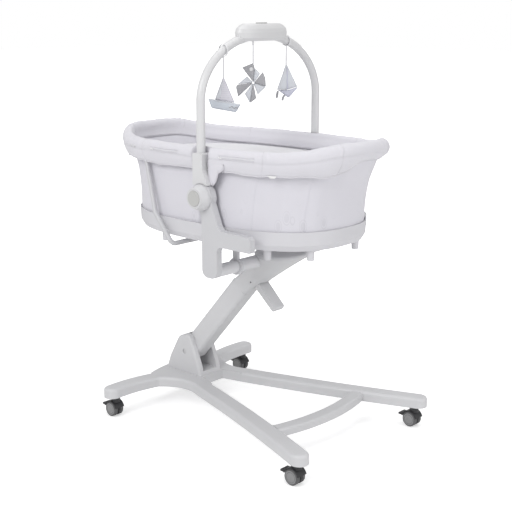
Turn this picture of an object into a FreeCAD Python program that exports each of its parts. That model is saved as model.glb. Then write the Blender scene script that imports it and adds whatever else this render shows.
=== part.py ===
import FreeCAD, Part
import math
import os

from FreeCAD import Placement, Rotation, Vector

# Baby cradle on a wheeled stand.  Millimetres, +Z up, +X towards the foot end, +Y to the left.
# While the pieces are shaped, x = 0 lies on the rear castors' swivel axes; every placement
# then moves the piece so that the whole cradle is centred on the origin, wheels at z = 0.

doc = FreeCAD.newDocument("baby_cradle")
dims = doc.addObject("Spreadsheet::Sheet", "Dims")

DIMENSIONS = (
    ("wheelbase", 800, "rear to front castor swivel axes"),
    ("rear_half_track", 313, "centre line to a rear castor"),
    ("front_half_track", 300, "centre line to a front castor"),
    ("leg_width", 58, "base leg, seen from above"),
    ("leg_depth", 34, "base leg, top to bottom"),
    ("leg_underside", 72, "floor to the base legs"),
    ("leg_overhang", 12, "leg end's centre beyond the castor axis"),
    ("leg_bow", 8, "bend of a base leg in plan"),
    ("leg_fillet", 10, "rounding of the base legs"),
    ("front_root_x", 216, "where a front leg leaves the hub"),
    ("front_root_y", 100, "where a front leg leaves the hub"),
    ("rear_root_x", 18, "where a rear leg leaves the hub"),
    ("rear_root_y", 150, "where a rear leg leaves the hub"),
    ("hub_front_x", 150, "front face of the hub"),
    ("hub_rear_x", -36, "rear face of the hub"),
    ("hub_waist_y", 116, "side of the hub between two legs"),
    ("hub_top", 250, "top of the hub's cheeks"),
    ("hub_half_width", 54, "half the hub's width at the cheeks"),
    ("slot_floor", 118, "floor of the hub's slot"),
    ("brace_width", 46, "cross brace, seen from above"),
    ("brace_root_x", 596, "where the cross brace meets the front legs"),
    ("brace_crown_x", 662, "centre of the cross brace at its crown"),
    ("plate_thick", 3, "hub's bottom plate"),
    ("fold_width", 18, "fold button"),
    ("fold_height", 26, "fold button"),
    ("fold_rise", 4, "top of the legs to the fold button"),
    ("fold_proud", 6, "fold button behind the hub"),
    ("fold_depth", 33, "fold button inside the hub"),
    ("fold_travel", 2, "fold button"),
    ("castor_diameter", 50, "castor wheel"),
    ("castor_wheel_width", 14, "one castor wheel"),
    ("castor_web", 10, "castor fork between its wheels"),
    ("castor_trail", 8, "swivel axis to axle"),
    ("castor_collar", 15, "radius of the castor's bearing collar"),
    ("castor_stem", 5, "radius of the castor's stem"),
    ("stem_length", 22, "stem inside the leg"),
    ("axle_radius", 3, "castor axle"),
    ("pedal_length", 12, "brake pedal behind its hinge"),
    ("pedal_thick", 6, "brake pedal"),
    ("pedal_rise", 11, "brake pedal's hinge above the axle"),
    ("run_gap", 0.05, "radial running clearance"),
    ("face_gap", 0.3, "gap between faces that move past each other"),
    ("press_gap", 0.03, "radial gap of a pressed pin"),
    ("pivot_x", 70, "leg's lower pivot"),
    ("pivot_z", 182, "leg's lower pivot"),
    ("pivot_radius", 9, "lower pivot pin"),
    ("leg_angle", 48.6, "leg above the horizontal, degrees"),
    ("post_depth", 72, "inclined leg, front to back"),
    ("post_thick", 64, "inclined leg, side to side"),
    ("post_length", 364, "lower pivot to the head"),
    ("post_fillet", 12, "rounding of the inclined leg"),
    ("slot_clearance", 4, "inclined leg to the hub's slot"),
    ("head_x", 472, "centre of the head's round top"),
    ("head_top", 597, "top of the head"),
    ("head_radius", 86, "head's round top"),
    ("head_lip", 14, "height of the head's round lip"),
    ("lever_x", 374, "height lever's hinge"),
    ("lever_z", 484, "height lever's hinge"),
    ("lever_angle", -42.7, "height lever below the horizontal, degrees"),
    ("lever_length", 122, "height lever"),
    ("lever_width", 46, "height lever, side to side"),
    ("lever_depth", 24, "height lever at its root"),
    ("lever_pin_radius", 3, "height lever's pin"),
    ("yoke_x", 430, "yoke's cross tube"),
    ("yoke_z", 570, "yoke's cross tube"),
    ("yoke_radius", 20, "yoke's cross tube"),
    ("yoke_wall", 2.5, "yoke's cross tube"),
    ("arm_inner", 261, "centre line to a yoke arm"),
    ("arm_thick", 22, "yoke arm"),
    ("arm_half_width", 32, "half a yoke arm's width"),
    ("arm_tail_x", 598, "end of the yoke arm's forward tail"),
    ("arm_tail_z", 655, "underside of the forward tail"),
    ("arm_tail_depth", 46, "height of the forward tail"),
    ("joint_x", 400, "side joint"),
    ("joint_z", 800, "side joint"),
    ("joint_radius", 42, "side joint's disc"),
    ("drum_length", 33, "side joint's drum"),
    ("drum_face", 31, "radius of the drum's outer face"),
    ("button_radius", 24, "side button"),
    ("button_proud", 3, "side button above the drum"),
    ("button_travel", 2, "side button"),
    ("saddle_y", 160, "centre line to a saddle post"),
    ("saddle_thick", 10, "saddle post"),
    ("saddle_width", 22, "saddle post"),
    ("basket_x", 334, "centre of the basket"),
    ("basket_power", 2.6, "squareness of the basket's oval"),
    ("tray_bottom", 653, "underside of the tray"),
    ("tray_height", 59, "underside of the tray to its lip"),
    ("tray_length", 804, "tray at its lip"),
    ("tray_width", 520, "tray at its lip"),
    ("tray_draft", 12, "how far the tray's foot stands in"),
    ("tray_wall", 4, "tray"),
    ("tray_lean", 2, "outward lean of the tray's side"),
    ("wall_thick", 7, "padded fabric wall"),
    ("wall_waist_z", 840, "height where the wall starts to flare"),
    ("wall_top", 940, "top of the fabric wall"),
    ("wall_top_length", 924, "fabric wall at its top"),
    ("wall_top_width", 476, "fabric wall at its top"),
    ("rim_tube_radius", 9, "tube in the rim"),
    ("rim_length", 974, "padded rim"),
    ("rim_width", 530, "padded rim"),
    ("rim_top", 972, "top of the padded rim"),
    ("rim_inset", 45, "width of the padded rim"),
    ("hem_bottom", 893, "lower edge of the rim's skirt"),
    ("hem_thick", 9, "rim's skirt"),
    ("mattress_gap", 5, "mattress to the fabric wall"),
    ("mattress_bottom", 845, "underside of the mattress"),
    ("mattress_thick", 42, "mattress"),
    ("board_thick", 8, "mattress board"),
    ("support_spread", 200, "basket centre to a board support"),
    ("support_thick", 14, "board support"),
    ("foot_height", 33, "tray foot"),
    ("foot_radius", 12.5, "tray foot"),
    ("strut_radius", 8, "head end strut"),
    ("strut_y", 271, "centre line to the head end strut"),
    ("strut_back", 232, "basket's centre to the strut's upper end"),
    ("strut_reach", 75, "strut's upper end to its bend, along the basket"),
    ("strut_lean", 33, "strut's upper end nearer the centre line than its bend"),
    ("arch_x", 385, "toy arch"),
    ("arch_y", 268, "centre line to an arch leg"),
    ("arch_radius", 13.5, "toy arch's tube"),
    ("arch_foot_z", 872, "lower end of the toy arch"),
    ("arch_spring_z", 1081, "where the toy arch starts to curve"),
    ("arch_crown_z", 1274, "centre of the tube at the crown"),
    ("socket_top", 932, "arch socket"),
    ("socket_half_width", 20, "arch socket, front to back"),
    ("socket_inner", 250, "arch socket"),
    ("socket_outer", 286, "arch socket"),
    ("box_length", 220, "music box along the arch"),
    ("box_width", 66, "music box"),
    ("box_below", 18, "crown's centre line to the music box's underside"),
    ("box_base", 25, "height of the music box's lower shell"),
    ("box_cover", 27, "height of the music box's upper shell"),
    ("toy_yaw", 42.6, "turn of the hanging toys, degrees"),
    ("toy_thick", 12, "soft toy"),
    ("boat_y", -170, "where the boat hangs"),
    ("boat_drop", 80, "arch to the boat"),
    ("kite_y", 118, "where the kite boat hangs"),
    ("kite_drop", 66, "arch to the kite boat"),
    ("wheel_y", -38, "where the pinwheel hangs"),
    ("wheel_drop", 62, "music box to the pinwheel"),
    ("wheel_radius", 54.5, "pinwheel's ribbon end to its centre"),
    ("ribbon_width", 6, "toy ribbon"),
    ("ribbon_thick", 1.2, "toy ribbon"),
    ("ribbon_roll", 2, "radius of the rolled end that the pinwheel swings on"),
)

for row, (alias, value, meaning) in enumerate(DIMENSIONS, start=1):
    dims.set(f"A{row}", alias)
    dims.set(f"B{row}", str(value))
    dims.set(f"C{row}", meaning)
    dims.setAlias(f"B{row}", alias)
doc.recompute()

RIGHT, LEFT = -1, 1
SIDES = (("right", RIGHT), ("left", LEFT))
CENTRED = ("-(Dims.wheelbase + Dims.leg_overhang + Dims.leg_width / 2"
           " + Dims.basket_x - Dims.rim_length / 2) / 2")
pieces = []


def size(alias):
    """The value of one cell of the sheet."""
    return float(dims.get(alias))


# ---------------------------------------------------------------- helpers

def finish(piece, label):
    """Name a sub-part and centre it on the cradle's origin."""
    piece.Label = label
    piece.setExpression("Placement.Base.x", CENTRED)
    pieces.append(piece)
    return piece


def shaped(label, shape):
    """A sub-part whose shape comes straight from Part's own functions."""
    piece = doc.addObject("Part::Feature", label)
    piece.Shape = shape
    return finish(piece, label)


def new_body(label):
    return finish(doc.addObject("PartDesign::Body", label), label)


def new_sketch(body, plane, edges, offset="0"):
    """A closed sketch on one of the body's own planes."""
    sketch = body.newObject("Sketcher::SketchObject", body.Label + "_outline")
    support = next(p for p in body.Origin.OriginFeatures if p.Role == plane)
    sketch.AttachmentSupport = (support, "")
    sketch.MapMode = "FlatFace"
    sketch.setExpression("AttachmentOffset.Base.z", offset)
    sketch.addGeometry(edges)
    return sketch


def new_pad(body, sketch, length, symmetric=False):
    pad = body.newObject("PartDesign::Pad", body.Label + "_pad")
    pad.Profile = sketch
    pad.setExpression("Length", length)
    if symmetric:
        pad.SideType = "Symmetric"
    sketch.Visibility = False
    doc.recompute()
    return pad


def new_pocket(body, sketch, length, symmetric=True):
    pocket = body.newObject("PartDesign::Pocket", body.Label + "_pocket")
    pocket.Profile = sketch
    pocket.setExpression("Length", length)
    if symmetric:
        pocket.SideType = "Symmetric"
    doc.recompute()
    return pocket


def new_fillet(body, feature, radius, chosen):
    """Round the edges of a feature that the test picks out."""
    fillet = body.newObject("PartDesign::Fillet", body.Label + "_fillet")
    names = [f"Edge{i}" for i, edge in enumerate(feature.Shape.Edges, 1) if chosen(edge)]
    fillet.Base = (feature, names)
    fillet.setExpression("Radius", radius)
    doc.recompute()
    return fillet


def flat_at(axis, height):
    """A test for edges that lie wholly at one height along an axis."""
    def test(edge):
        box = edge.BoundBox
        low = getattr(box, axis + "Min")
        high = getattr(box, axis + "Max")
        return abs(low - height) < 0.01 and abs(high - height) < 0.01
    return test


def rounded(corners):
    """Edges of a closed outline; a corner is (x, y, radius)."""
    count = len(corners)
    runs = []
    for i, (x, y, radius) in enumerate(corners):
        here = Vector(x, y, 0)
        back = (Vector(*corners[i - 1][:2], 0) - here).normalize()
        ahead = (Vector(*corners[(i + 1) % count][:2], 0) - here).normalize()
        half = back.getAngle(ahead) / 2
        setback = radius / math.tan(half)
        middle = here + (back + ahead).normalize() * (radius / math.sin(half) - radius)
        runs.append((here + back * setback, middle, here + ahead * setback, radius))
    edges = []
    for i, (first, middle, last, radius) in enumerate(runs):
        if radius > 0:
            edges.append(Part.ArcOfCircle(first, middle, last))
        following = runs[(i + 1) % count][0]
        if last.distanceToPoint(following) > 0.001:
            edges.append(Part.LineSegment(last, following))
    return edges


def circle(x, y, radius):
    return [Part.Circle(Vector(x, y, 0), Vector(0, 0, 1), radius)]


def oval_wire(centre, along, across, half_along, half_across, power):
    """A superellipse about a point, in the plane of two directions."""
    count = 24
    points = []
    for i in range(count):
        turn = 2 * math.pi * (i + 0.5) / count
        c, s = math.cos(turn), math.sin(turn)
        u = math.copysign(abs(c) ** (2 / power), c) * half_along
        v = math.copysign(abs(s) ** (2 / power), s) * half_across
        points.append(centre + along * u + across * v)
    curve = Part.BSplineCurve()
    curve.interpolate(Points=points, PeriodicFlag=True)
    return Part.Wire(curve.toShape())


def oval(half_length, half_width, z):
    """One horizontal section of the basket."""
    centre = Vector(size("basket_x"), 0, z)
    return oval_wire(centre, Vector(1, 0, 0), Vector(0, 1, 0), half_length, half_width,
                     size("basket_power"))


def loft(wires, straight=True):
    return Part.makeLoft(wires, True, straight)


def bar(start, end, radius):
    """A round bar between two points."""
    return Part.makeCylinder(radius, start.distanceToPoint(end), start, end - start)


def block(low, high):
    return Part.makeBox(high.x - low.x, high.y - low.y, high.z - low.z, low)


def bent_tube(points, bend, radius):
    """A round tube along straight runs joined by tangent arcs."""
    edges = []
    start = points[0]
    for before, corner, after in zip(points, points[1:], points[2:]):
        back = (before - corner).normalize()
        ahead = (after - corner).normalize()
        half = back.getAngle(ahead) / 2
        setback = bend / math.tan(half)
        middle = corner + (back + ahead).normalize() * (bend / math.sin(half) - bend)
        first = corner + back * setback
        last = corner + ahead * setback
        edges.append(Part.LineSegment(start, first).toShape())
        edges.append(Part.Arc(first, middle, last).toShape())
        start = last
    edges.append(Part.LineSegment(start, points[-1]).toShape())
    path = Part.Wire(edges)
    ring = Part.Wire(Part.makeCircle(radius, points[0], points[1] - points[0]))
    return path.makePipeShell([ring], True, False)


# ---------------------------------------------------------------- base frame

HALF_LEG = size("leg_width") / 2
LEG_TOP = size("leg_underside") + size("leg_depth")


def leg_line(root, tip, bow):
    """Middle, tangents and normals of a gently bowed line in plan."""
    along = (tip - root).normalize()
    across = Vector(-along.y, along.x, 0)
    turn = math.degrees(2 * math.atan(2 * bow / root.distanceToPoint(tip)))
    lean = Rotation(Vector(0, 0, 1), turn)
    return (root + tip) / 2 + across * bow, along, across, lean


def root_corners(root, tip, bow):
    """Left and right corners of a base leg where it leaves the hub."""
    across, lean = leg_line(root, tip, bow)[2:]
    side = lean.multVec(across) * HALF_LEG
    return root + side, root - side


def leg_outline(root, tip, bow):
    middle, along, across, lean = leg_line(root, tip, bow)
    left, right = root_corners(root, tip, bow)
    tip_side = lean.inverted().multVec(across) * HALF_LEG
    tip_ahead = lean.inverted().multVec(along) * HALF_LEG
    return [
        Part.ArcOfCircle(left, middle + across * HALF_LEG, tip + tip_side),
        Part.ArcOfCircle(tip + tip_side, tip + tip_ahead, tip - tip_side),
        Part.ArcOfCircle(tip - tip_side, middle - across * HALF_LEG, right),
        Part.LineSegment(right, left),
    ]


def front_root(side):
    return Vector(size("front_root_x"), side * size("front_root_y"), 0)


def rear_root(side):
    return Vector(size("rear_root_x"), side * size("rear_root_y"), 0)


def castor_axis(end, side):
    if end == "front":
        return Vector(size("wheelbase"), side * size("front_half_track"), 0)
    return Vector(0, side * size("rear_half_track"), 0)


def leg_tip(end, side):
    """Centre of a base leg's rounded end."""
    axis = castor_axis(end, side)
    overhang = size("leg_overhang")
    if end == "front":
        return axis + Vector(overhang, side * overhang * 0.4, 0)
    return axis + Vector(0, side * overhang, 0)


def base_leg(end, side_name, side):
    root = front_root(side) if end == "front" else rear_root(side)
    bow = side * size("leg_bow") * (-1 if end == "front" else 1)
    tip = leg_tip(end, side)
    body = new_body(f"{end}_leg_{side_name}")
    pad = new_pad(body, new_sketch(body, "XY_Plane", leg_outline(root, tip, bow),
                                   "Dims.leg_underside"), "Dims.leg_depth")
    left, right = root_corners(root, tip, bow)
    root_middle = (left + right) / 2

    def rim_edge(edge):
        at_root = Vector(edge.CenterOfMass.x, edge.CenterOfMass.y, 0).distanceToPoint(root_middle) < 1
        return flat_at("Z", LEG_TOP)(edge) and not at_root

    new_fillet(body, pad, "Dims.leg_fillet", rim_edge)
    axis = castor_axis(end, side)
    bore = new_sketch(body, "XY_Plane", circle(axis.x, axis.y, size("castor_stem") + size("run_gap")),
                      "Dims.leg_underside")
    socket = body.newObject("PartDesign::Pocket", body.Label + "_socket")
    socket.Profile = bore
    socket.Reversed = True
    socket.setExpression("Length", "Dims.stem_length + 2 * Dims.face_gap")
    return body


def hub_outline():
    """The hub from above: four straight faces for the legs, waists and ends between them."""
    corners = {}
    for side in (RIGHT, LEFT):
        bow = side * size("leg_bow")
        corners["front", side] = root_corners(front_root(side), leg_tip("front", side), -bow)
        corners["rear", side] = root_corners(rear_root(side), leg_tip("rear", side), bow)
    front_inner_r, front_outer_r = corners["front", RIGHT]
    front_outer_l, front_inner_l = corners["front", LEFT]
    rear_inner_r, rear_outer_r = corners["rear", RIGHT]
    rear_outer_l, rear_inner_l = corners["rear", LEFT]
    waist = Vector((size("front_root_x") + size("rear_root_x")) / 2, size("hub_waist_y"), 0)
    notch_r = Vector(size("hub_front_x"), -size("hub_half_width"), 0)
    notch_l = Vector(size("hub_front_x"), size("hub_half_width"), 0)
    return [
        Part.LineSegment(rear_outer_r, rear_inner_r),
        Part.ArcOfCircle(rear_inner_r, Vector(waist.x, -waist.y, 0), front_outer_r),
        Part.LineSegment(front_outer_r, front_inner_r),
        Part.LineSegment(front_inner_r, notch_r),
        Part.LineSegment(notch_r, notch_l),
        Part.LineSegment(notch_l, front_inner_l),
        Part.LineSegment(front_inner_l, front_outer_l),
        Part.ArcOfCircle(front_outer_l, waist, rear_inner_l),
        Part.LineSegment(rear_inner_l, rear_outer_l),
        Part.ArcOfCircle(rear_outer_l, Vector(size("hub_rear_x"), 0, 0), rear_outer_r),
    ]


def base_hub():
    body = new_body("base_hub")
    deck = new_pad(body, new_sketch(body, "XY_Plane", hub_outline(), "Dims.leg_underside"),
                   "Dims.leg_depth")
    waist_x = (size("front_root_x") + size("rear_root_x")) / 2

    def waist_edge(edge):
        middle = edge.BoundBox.Center
        return flat_at("Z", LEG_TOP)(edge) and abs(middle.x - waist_x) < 30 and abs(middle.y) > 60

    new_fillet(body, deck, "Dims.leg_fillet", waist_edge)
    rear, front, top = size("hub_rear_x"), size("hub_front_x"), size("hub_top")
    low = size("leg_underside") + size("leg_depth") / 2
    cheek = rounded(((rear + 6, low, 0), (rear + 30, LEG_TOP + 46, 60), (rear + 76, top - 16, 40),
                     (rear + 128, top, 22), (front - 12, LEG_TOP + 30, 60), (front - 2, low, 0)))
    cheeks = new_pad(body, new_sketch(body, "XZ_Plane", cheek), "2 * Dims.hub_half_width", True)

    def cheek_edge(edge):
        box = edge.BoundBox
        side = abs(abs(box.Center.y) - size("hub_half_width")) < 0.01 and box.YLength < 0.01
        return side and box.ZMax > LEG_TOP + 5

    new_fillet(body, cheeks, "Dims.leg_fillet * 0.8", cheek_edge)
    reach = size("post_depth") / 2 + size("slot_clearance")
    angle = math.radians(size("leg_angle"))
    pivot = Vector(size("pivot_x"), size("pivot_z"), 0)
    rise = reach * (math.cos(angle) - (1 - math.sin(angle)) * math.tan(angle))
    far = Vector(math.cos(angle), math.sin(angle), 0) * size("hub_top") * 0.5
    exit_point = pivot + Vector(-math.sin(angle), math.cos(angle), 0) * reach + far
    slot = rounded(((pivot.x - reach, pivot.y + rise, reach), (exit_point.x, exit_point.y, 0),
                    (front + reach, exit_point.y, 0), (front + reach, size("slot_floor"), 0),
                    (pivot.x - reach, size("slot_floor"), 20)))
    new_pocket(body, new_sketch(body, "XZ_Plane", slot), "Dims.post_thick + 4 * Dims.face_gap")
    hole = circle(pivot.x, pivot.y, size("pivot_radius") + size("press_gap"))
    new_pocket(body, new_sketch(body, "XZ_Plane", hole), "3 * Dims.hub_half_width")
    plate = rounded(plate_corners(0))
    recess = body.newObject("PartDesign::Pocket", "plate_recess")
    recess.Profile = new_sketch(body, "XY_Plane", plate, "Dims.leg_underside")
    recess.Reversed = True
    recess.setExpression("Length", "Dims.plate_thick")
    gap = size("face_gap")
    half = size("fold_width") / 2 + gap
    back = rear + size("fold_depth") + size("fold_travel") + gap
    corners = [Vector(rear - 20, -half, 0), Vector(back, -half, 0), Vector(back, half, 0), Vector(rear - 20, half, 0)]
    mouth = [Part.LineSegment(a, b) for a, b in zip(corners, corners[1:] + corners[:1])]
    well = body.newObject("PartDesign::Pocket", "fold_recess")
    well.Profile = new_sketch(body, "XY_Plane", mouth,
                              "Dims.leg_underside + Dims.leg_depth + Dims.fold_rise - Dims.face_gap")
    well.Reversed = True
    well.setExpression("Length", "Dims.fold_height + 2 * Dims.face_gap")
    doc.recompute()
    return body


def plate_corners(gap):
    """The hub's bottom plate, drawn in by a gap."""
    half = size("hub_half_width") - gap
    rear = size("hub_rear_x") + 20 + gap
    front = size("hub_front_x") - 14 - gap
    return ((rear, -half, 14), (front, -half, 14), (front, half, 14), (rear, half, 14))


def hub_bottom_plate():
    body = new_body("hub_bottom_plate")
    edges = rounded(plate_corners(size("face_gap")))
    new_pad(body, new_sketch(body, "XY_Plane", edges, "Dims.leg_underside"), "Dims.plate_thick")
    return body


def pin(label, x, z, radius, length):
    """A straight pin across the cradle, centred on its middle plane."""
    piece = doc.addObject("Part::Cylinder", label)
    piece.setExpression("Radius", radius)
    piece.setExpression("Height", length)
    piece.Placement = Placement(Vector(0, 0, 0), Rotation(Vector(1, 0, 0), 90))
    finish(piece, label)
    piece.setExpression("Placement.Base.x", f"{x} + {CENTRED}")
    piece.setExpression("Placement.Base.y", f"({length}) / 2")
    piece.setExpression("Placement.Base.z", z)
    return piece


def cross_brace():
    """A bowed brace between the front legs, its ends cut to their inner sides."""
    half = size("brace_width") / 2
    thick = size("leg_depth") - 8
    low = size("leg_underside") + 4
    crown = size("brace_crown_x")
    root = size("brace_root_x")
    reach = size("front_half_track")

    def arc(offset):
        return Part.ArcOfCircle(Vector(root + offset, -reach, low), Vector(crown + offset, 0, low),
                                Vector(root + offset, reach, low))

    outer = arc(half)
    inner = arc(-half)
    ends = [Part.LineSegment(Vector(root - half, side * reach, low), Vector(root + half, side * reach, low))
            for side in (LEFT, RIGHT)]
    face = Part.Face(Part.Wire(Part.sortEdges([e.toShape() for e in [outer, inner] + ends])[0]))
    brace = face.extrude(Vector(0, 0, thick))
    upper = [e for e in brace.Edges if flat_at("Z", low + thick)(e) and e.BoundBox.YLength > reach]
    brace = brace.makeFillet(size("leg_fillet") * 0.7, upper)
    for side in (RIGHT, LEFT):
        outline = leg_outline(front_root(side), leg_tip("front", side), -side * size("leg_bow"))
        leg = Part.Face(Part.Wire([e.toShape() for e in outline]))
        column = leg.extrude(Vector(0, 0, 2 * LEG_TOP))
        beyond = block(Vector(root - reach, min(side * reach, side * 3 * reach), 0),
                       Vector(crown + reach, max(side * reach, side * 3 * reach), 2 * LEG_TOP))
        brace = brace.cut(column).cut(beyond)
    solid = max(brace.Solids, key=lambda s: s.Volume)
    return shaped("cross_brace", solid)


base_hub()
hub_bottom_plate()
for name, side in SIDES:
    base_leg("rear", name, side)
    base_leg("front", name, side)
cross_brace()
pin("leg_pivot_pin", "Dims.pivot_x", "Dims.pivot_z", "Dims.pivot_radius", "2 * Dims.hub_half_width - 4")


def fold_button():
    """A push button in a recess of the hub's rear face."""
    rear, half = size("hub_rear_x"), size("fold_width") / 2
    low = LEG_TOP + size("fold_rise")
    proud = rear - size("fold_proud")
    tab = block(Vector(proud, -half, low), Vector(rear + size("fold_depth"), half, low + size("fold_height")))
    edges = [e for e in tab.Edges if e.BoundBox.XMax < proud + 1]
    return shaped("fold_button", tab.makeFillet(3, edges))


# ---------------------------------------------------------------- castors

WHEEL_RADIUS = size("castor_diameter") / 2


def castor(end, side_name, side):
    tag = f"{end}_{side_name}"
    axis = castor_axis(end, side)
    hub = axis + Vector(-size("castor_trail"), 0, WHEEL_RADIUS)
    web = size("castor_web") / 2
    wheel = size("castor_wheel_width")
    gap = size("face_gap")
    top = size("leg_underside") - gap
    sideways = Vector(0, 1, 0)
    half_span = web + gap + wheel

    hood_outer = WHEEL_RADIUS + 5
    hood_inner = WHEEL_RADIUS + 1.5
    hood = bar(hub - sideways * half_span, hub + sideways * half_span, hood_outer)
    hood = hood.cut(bar(hub - sideways * 2 * half_span, hub + sideways * 2 * half_span, hood_inner))
    hood = hood.common(block(hub + Vector(-hood_outer, -half_span, 8),
                             hub + Vector(hood_outer, half_span, hood_outer)))
    disc = bar(hub - sideways * web, hub + sideways * web, hood_inner + 1)
    disc = disc.common(block(hub + Vector(-9, -web, -9), hub + Vector(hood_outer, web, hood_outer)))
    collar = Part.makeCylinder(size("castor_collar"), top - 50, Vector(axis.x, axis.y, 50))
    wheel_space = bar(hub - sideways * 2 * half_span, hub + sideways * 2 * half_span, hood_inner)
    collar = collar.cut(wheel_space)
    stem = Part.makeCylinder(size("castor_stem"), size("stem_length"), Vector(axis.x, axis.y, top))
    fork = hood.fuse([disc, collar, stem])
    axle_hole = bar(hub - sideways * 50, hub + sideways * 50, size("axle_radius") + size("press_gap"))
    shaped(f"castor_fork_{tag}", fork.cut(axle_hole).removeSplitter())
    shaped(f"castor_axle_{tag}", bar(hub - sideways * half_span, hub + sideways * half_span,
                                     size("axle_radius")))

    rims = []
    for hand in (RIGHT, LEFT):
        inner = hub + sideways * hand * (web + gap)
        tyre = bar(inner, inner + sideways * hand * wheel, WHEEL_RADIUS)
        outer_edges = [e for e in tyre.Edges if abs(e.CenterOfMass.y - inner.y - hand * wheel) < 0.01]
        tyre = tyre.makeFillet(3, outer_edges)
        dish = bar(inner + sideways * hand * (wheel - 2.5), inner + sideways * hand * (wheel + 1), 15)
        bore = bar(hub - sideways * 50, hub + sideways * 50, size("axle_radius") + size("run_gap"))
        rims.append(tyre.cut(dish).cut(bore))
    shaped(f"castor_wheels_{tag}", Part.Compound(rims))

    half_thick = size("pedal_thick") / 2
    rise = size("pedal_rise")
    back = math.sqrt((hood_outer + gap + half_thick) ** 2 - rise ** 2)
    hinge = hub + Vector(-back, 0, rise)
    half_wide = sideways * (half_span - 3)
    pedal = block(hinge - half_wide - Vector(size("pedal_length"), 0, half_thick),
                  hinge + half_wide + Vector(0, 0, half_thick))
    edges = [e for e in pedal.Edges if e.BoundBox.XMax < hinge.x - size("pedal_length") / 2]
    barrel = bar(hinge - half_wide, hinge + half_wide, half_thick)
    shaped(f"castor_brake_{tag}", pedal.makeFillet(2, edges).fuse(barrel))


for end in ("rear", "front"):
    for name, side in SIDES:
        castor(end, name, side)
fold_button()


# ---------------------------------------------------------------- inclined leg

PIVOT = Vector(size("pivot_x"), 0, size("pivot_z"))
UP_LEG = Vector(math.cos(math.radians(size("leg_angle"))), 0, math.sin(math.radians(size("leg_angle"))))
OFF_LEG = Vector(-UP_LEG.z, 0, UP_LEG.x)
SIDEWAYS = Vector(0, 1, 0)


def on_leg(along, off, radius):
    """A corner on the inclined leg's side view."""
    point = PIVOT + UP_LEG * along + OFF_LEG * off
    return point.x, point.z, radius


def support_leg():
    body = new_body("support_leg")
    half = size("post_depth") / 2
    length = size("post_length")
    edges = rounded((on_leg(-half, -half, half * 0.98), on_leg(length, -half, 0),
                     on_leg(length, half, 0), on_leg(-half, half, half * 0.98)))
    pad = new_pad(body, new_sketch(body, "XZ_Plane", edges), "Dims.post_thick", True)
    end = PIVOT + UP_LEG * length

    def long_edge(edge):
        at_end = abs((edge.CenterOfMass - end).dot(UP_LEG)) < 0.01
        return edge.BoundBox.YLength < 0.01 and not at_end

    new_fillet(body, pad, "Dims.post_fillet", long_edge)
    bore = circle(PIVOT.x, PIVOT.z, size("pivot_radius") + size("run_gap"))
    new_pocket(body, new_sketch(body, "XZ_Plane", bore), "2 * Dims.post_thick")


LEVER = Vector(size("lever_x"), 0, size("lever_z"))
LEVER_ALONG = Vector(math.cos(math.radians(size("lever_angle"))), 0,
                     math.sin(math.radians(size("lever_angle"))))
LEVER_OFF = Vector(-LEVER_ALONG.z, 0, LEVER_ALONG.x)


def prism(corners, half_width):
    """A closed polygon in side view, extruded equally to both sides."""
    points = [Vector(p.x, -half_width, p.z) for p in corners]
    face = Part.Face(Part.makePolygon(points + [points[0]]))
    return face.extrude(SIDEWAYS * 2 * half_width)


def leg_head():
    """A horn that grows from the leg's section into a round top."""
    root = PIVOT + UP_LEG * size("post_length")
    crown = Vector(size("head_x"), 0, size("head_top") - size("head_lip"))
    middle = root * 0.6 + crown * 0.4
    lean = (OFF_LEG + Vector(-1, 0, 0)).normalize()
    sections = [
        oval_wire(root, OFF_LEG, SIDEWAYS, size("post_depth") / 2, size("post_thick") / 2, 5),
        oval_wire(middle, lean, SIDEWAYS, size("post_depth") * 0.62, size("post_thick") * 0.7, 3),
        oval_wire(crown, Vector(-1, 0, 0), SIDEWAYS, size("head_radius"), size("head_radius"), 2),
    ]
    horn = loft(sections, False)
    lip = Part.Face(sections[2]).extrude(Vector(0, 0, size("head_lip")))
    lip = lip.makeFillet(size("head_lip") * 0.6, [e for e in lip.Edges
                                                  if flat_at("Z", size("head_top"))(e)])
    head = horn.fuse(lip)
    yoke = Vector(size("yoke_x"), 0, size("yoke_z"))
    across = SIDEWAYS * 2 * size("head_radius")
    head = head.cut(bar(yoke - across, yoke + across, size("yoke_radius") + size("run_gap")))
    depth = size("lever_depth") / 2
    slot = [LEVER + LEVER_ALONG * u + LEVER_OFF * v for u, v in
            ((-depth - 3, -depth - 1.5), (90, -depth - 1.5), (90, depth + 20), (-depth - 3, depth + 3))]
    head = head.cut(prism(slot, size("lever_width") / 2 + size("face_gap") * 2))
    grip = SIDEWAYS * size("head_radius")
    head = head.cut(bar(LEVER - grip, LEVER + grip, size("lever_pin_radius") + size("press_gap")))
    shaped("leg_head", max(head.Solids, key=lambda s: s.Volume))


def height_lever():
    """A squeeze lever that tapers towards its rounded tip."""
    depth = size("lever_depth") / 2
    length = size("lever_length")
    corners = [LEVER + LEVER_ALONG * u + LEVER_OFF * v for u, v in
               ((-depth, -depth * 0.7), (0, -depth), (length, -depth * 0.8), (length, depth * 0.7),
                (0, depth), (-depth, depth * 0.7))]
    lever = prism(corners, size("lever_width") / 2)
    tip = LEVER + LEVER_ALONG * length
    tip_edges = [e for e in lever.Edges if abs((e.CenterOfMass - tip).dot(LEVER_ALONG)) < 0.01]
    lever = lever.makeFillet(5, tip_edges)
    grip = SIDEWAYS * size("lever_width")
    bore = bar(LEVER - grip, LEVER + grip, size("lever_pin_radius") + size("run_gap"))
    shaped("height_lever", lever.cut(bore))


support_leg()
leg_head()
height_lever()
pin("lever_pin", "Dims.lever_x", "Dims.lever_z", "Dims.lever_pin_radius", "Dims.lever_width + 10")


# ---------------------------------------------------------------- yoke and side joints

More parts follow.
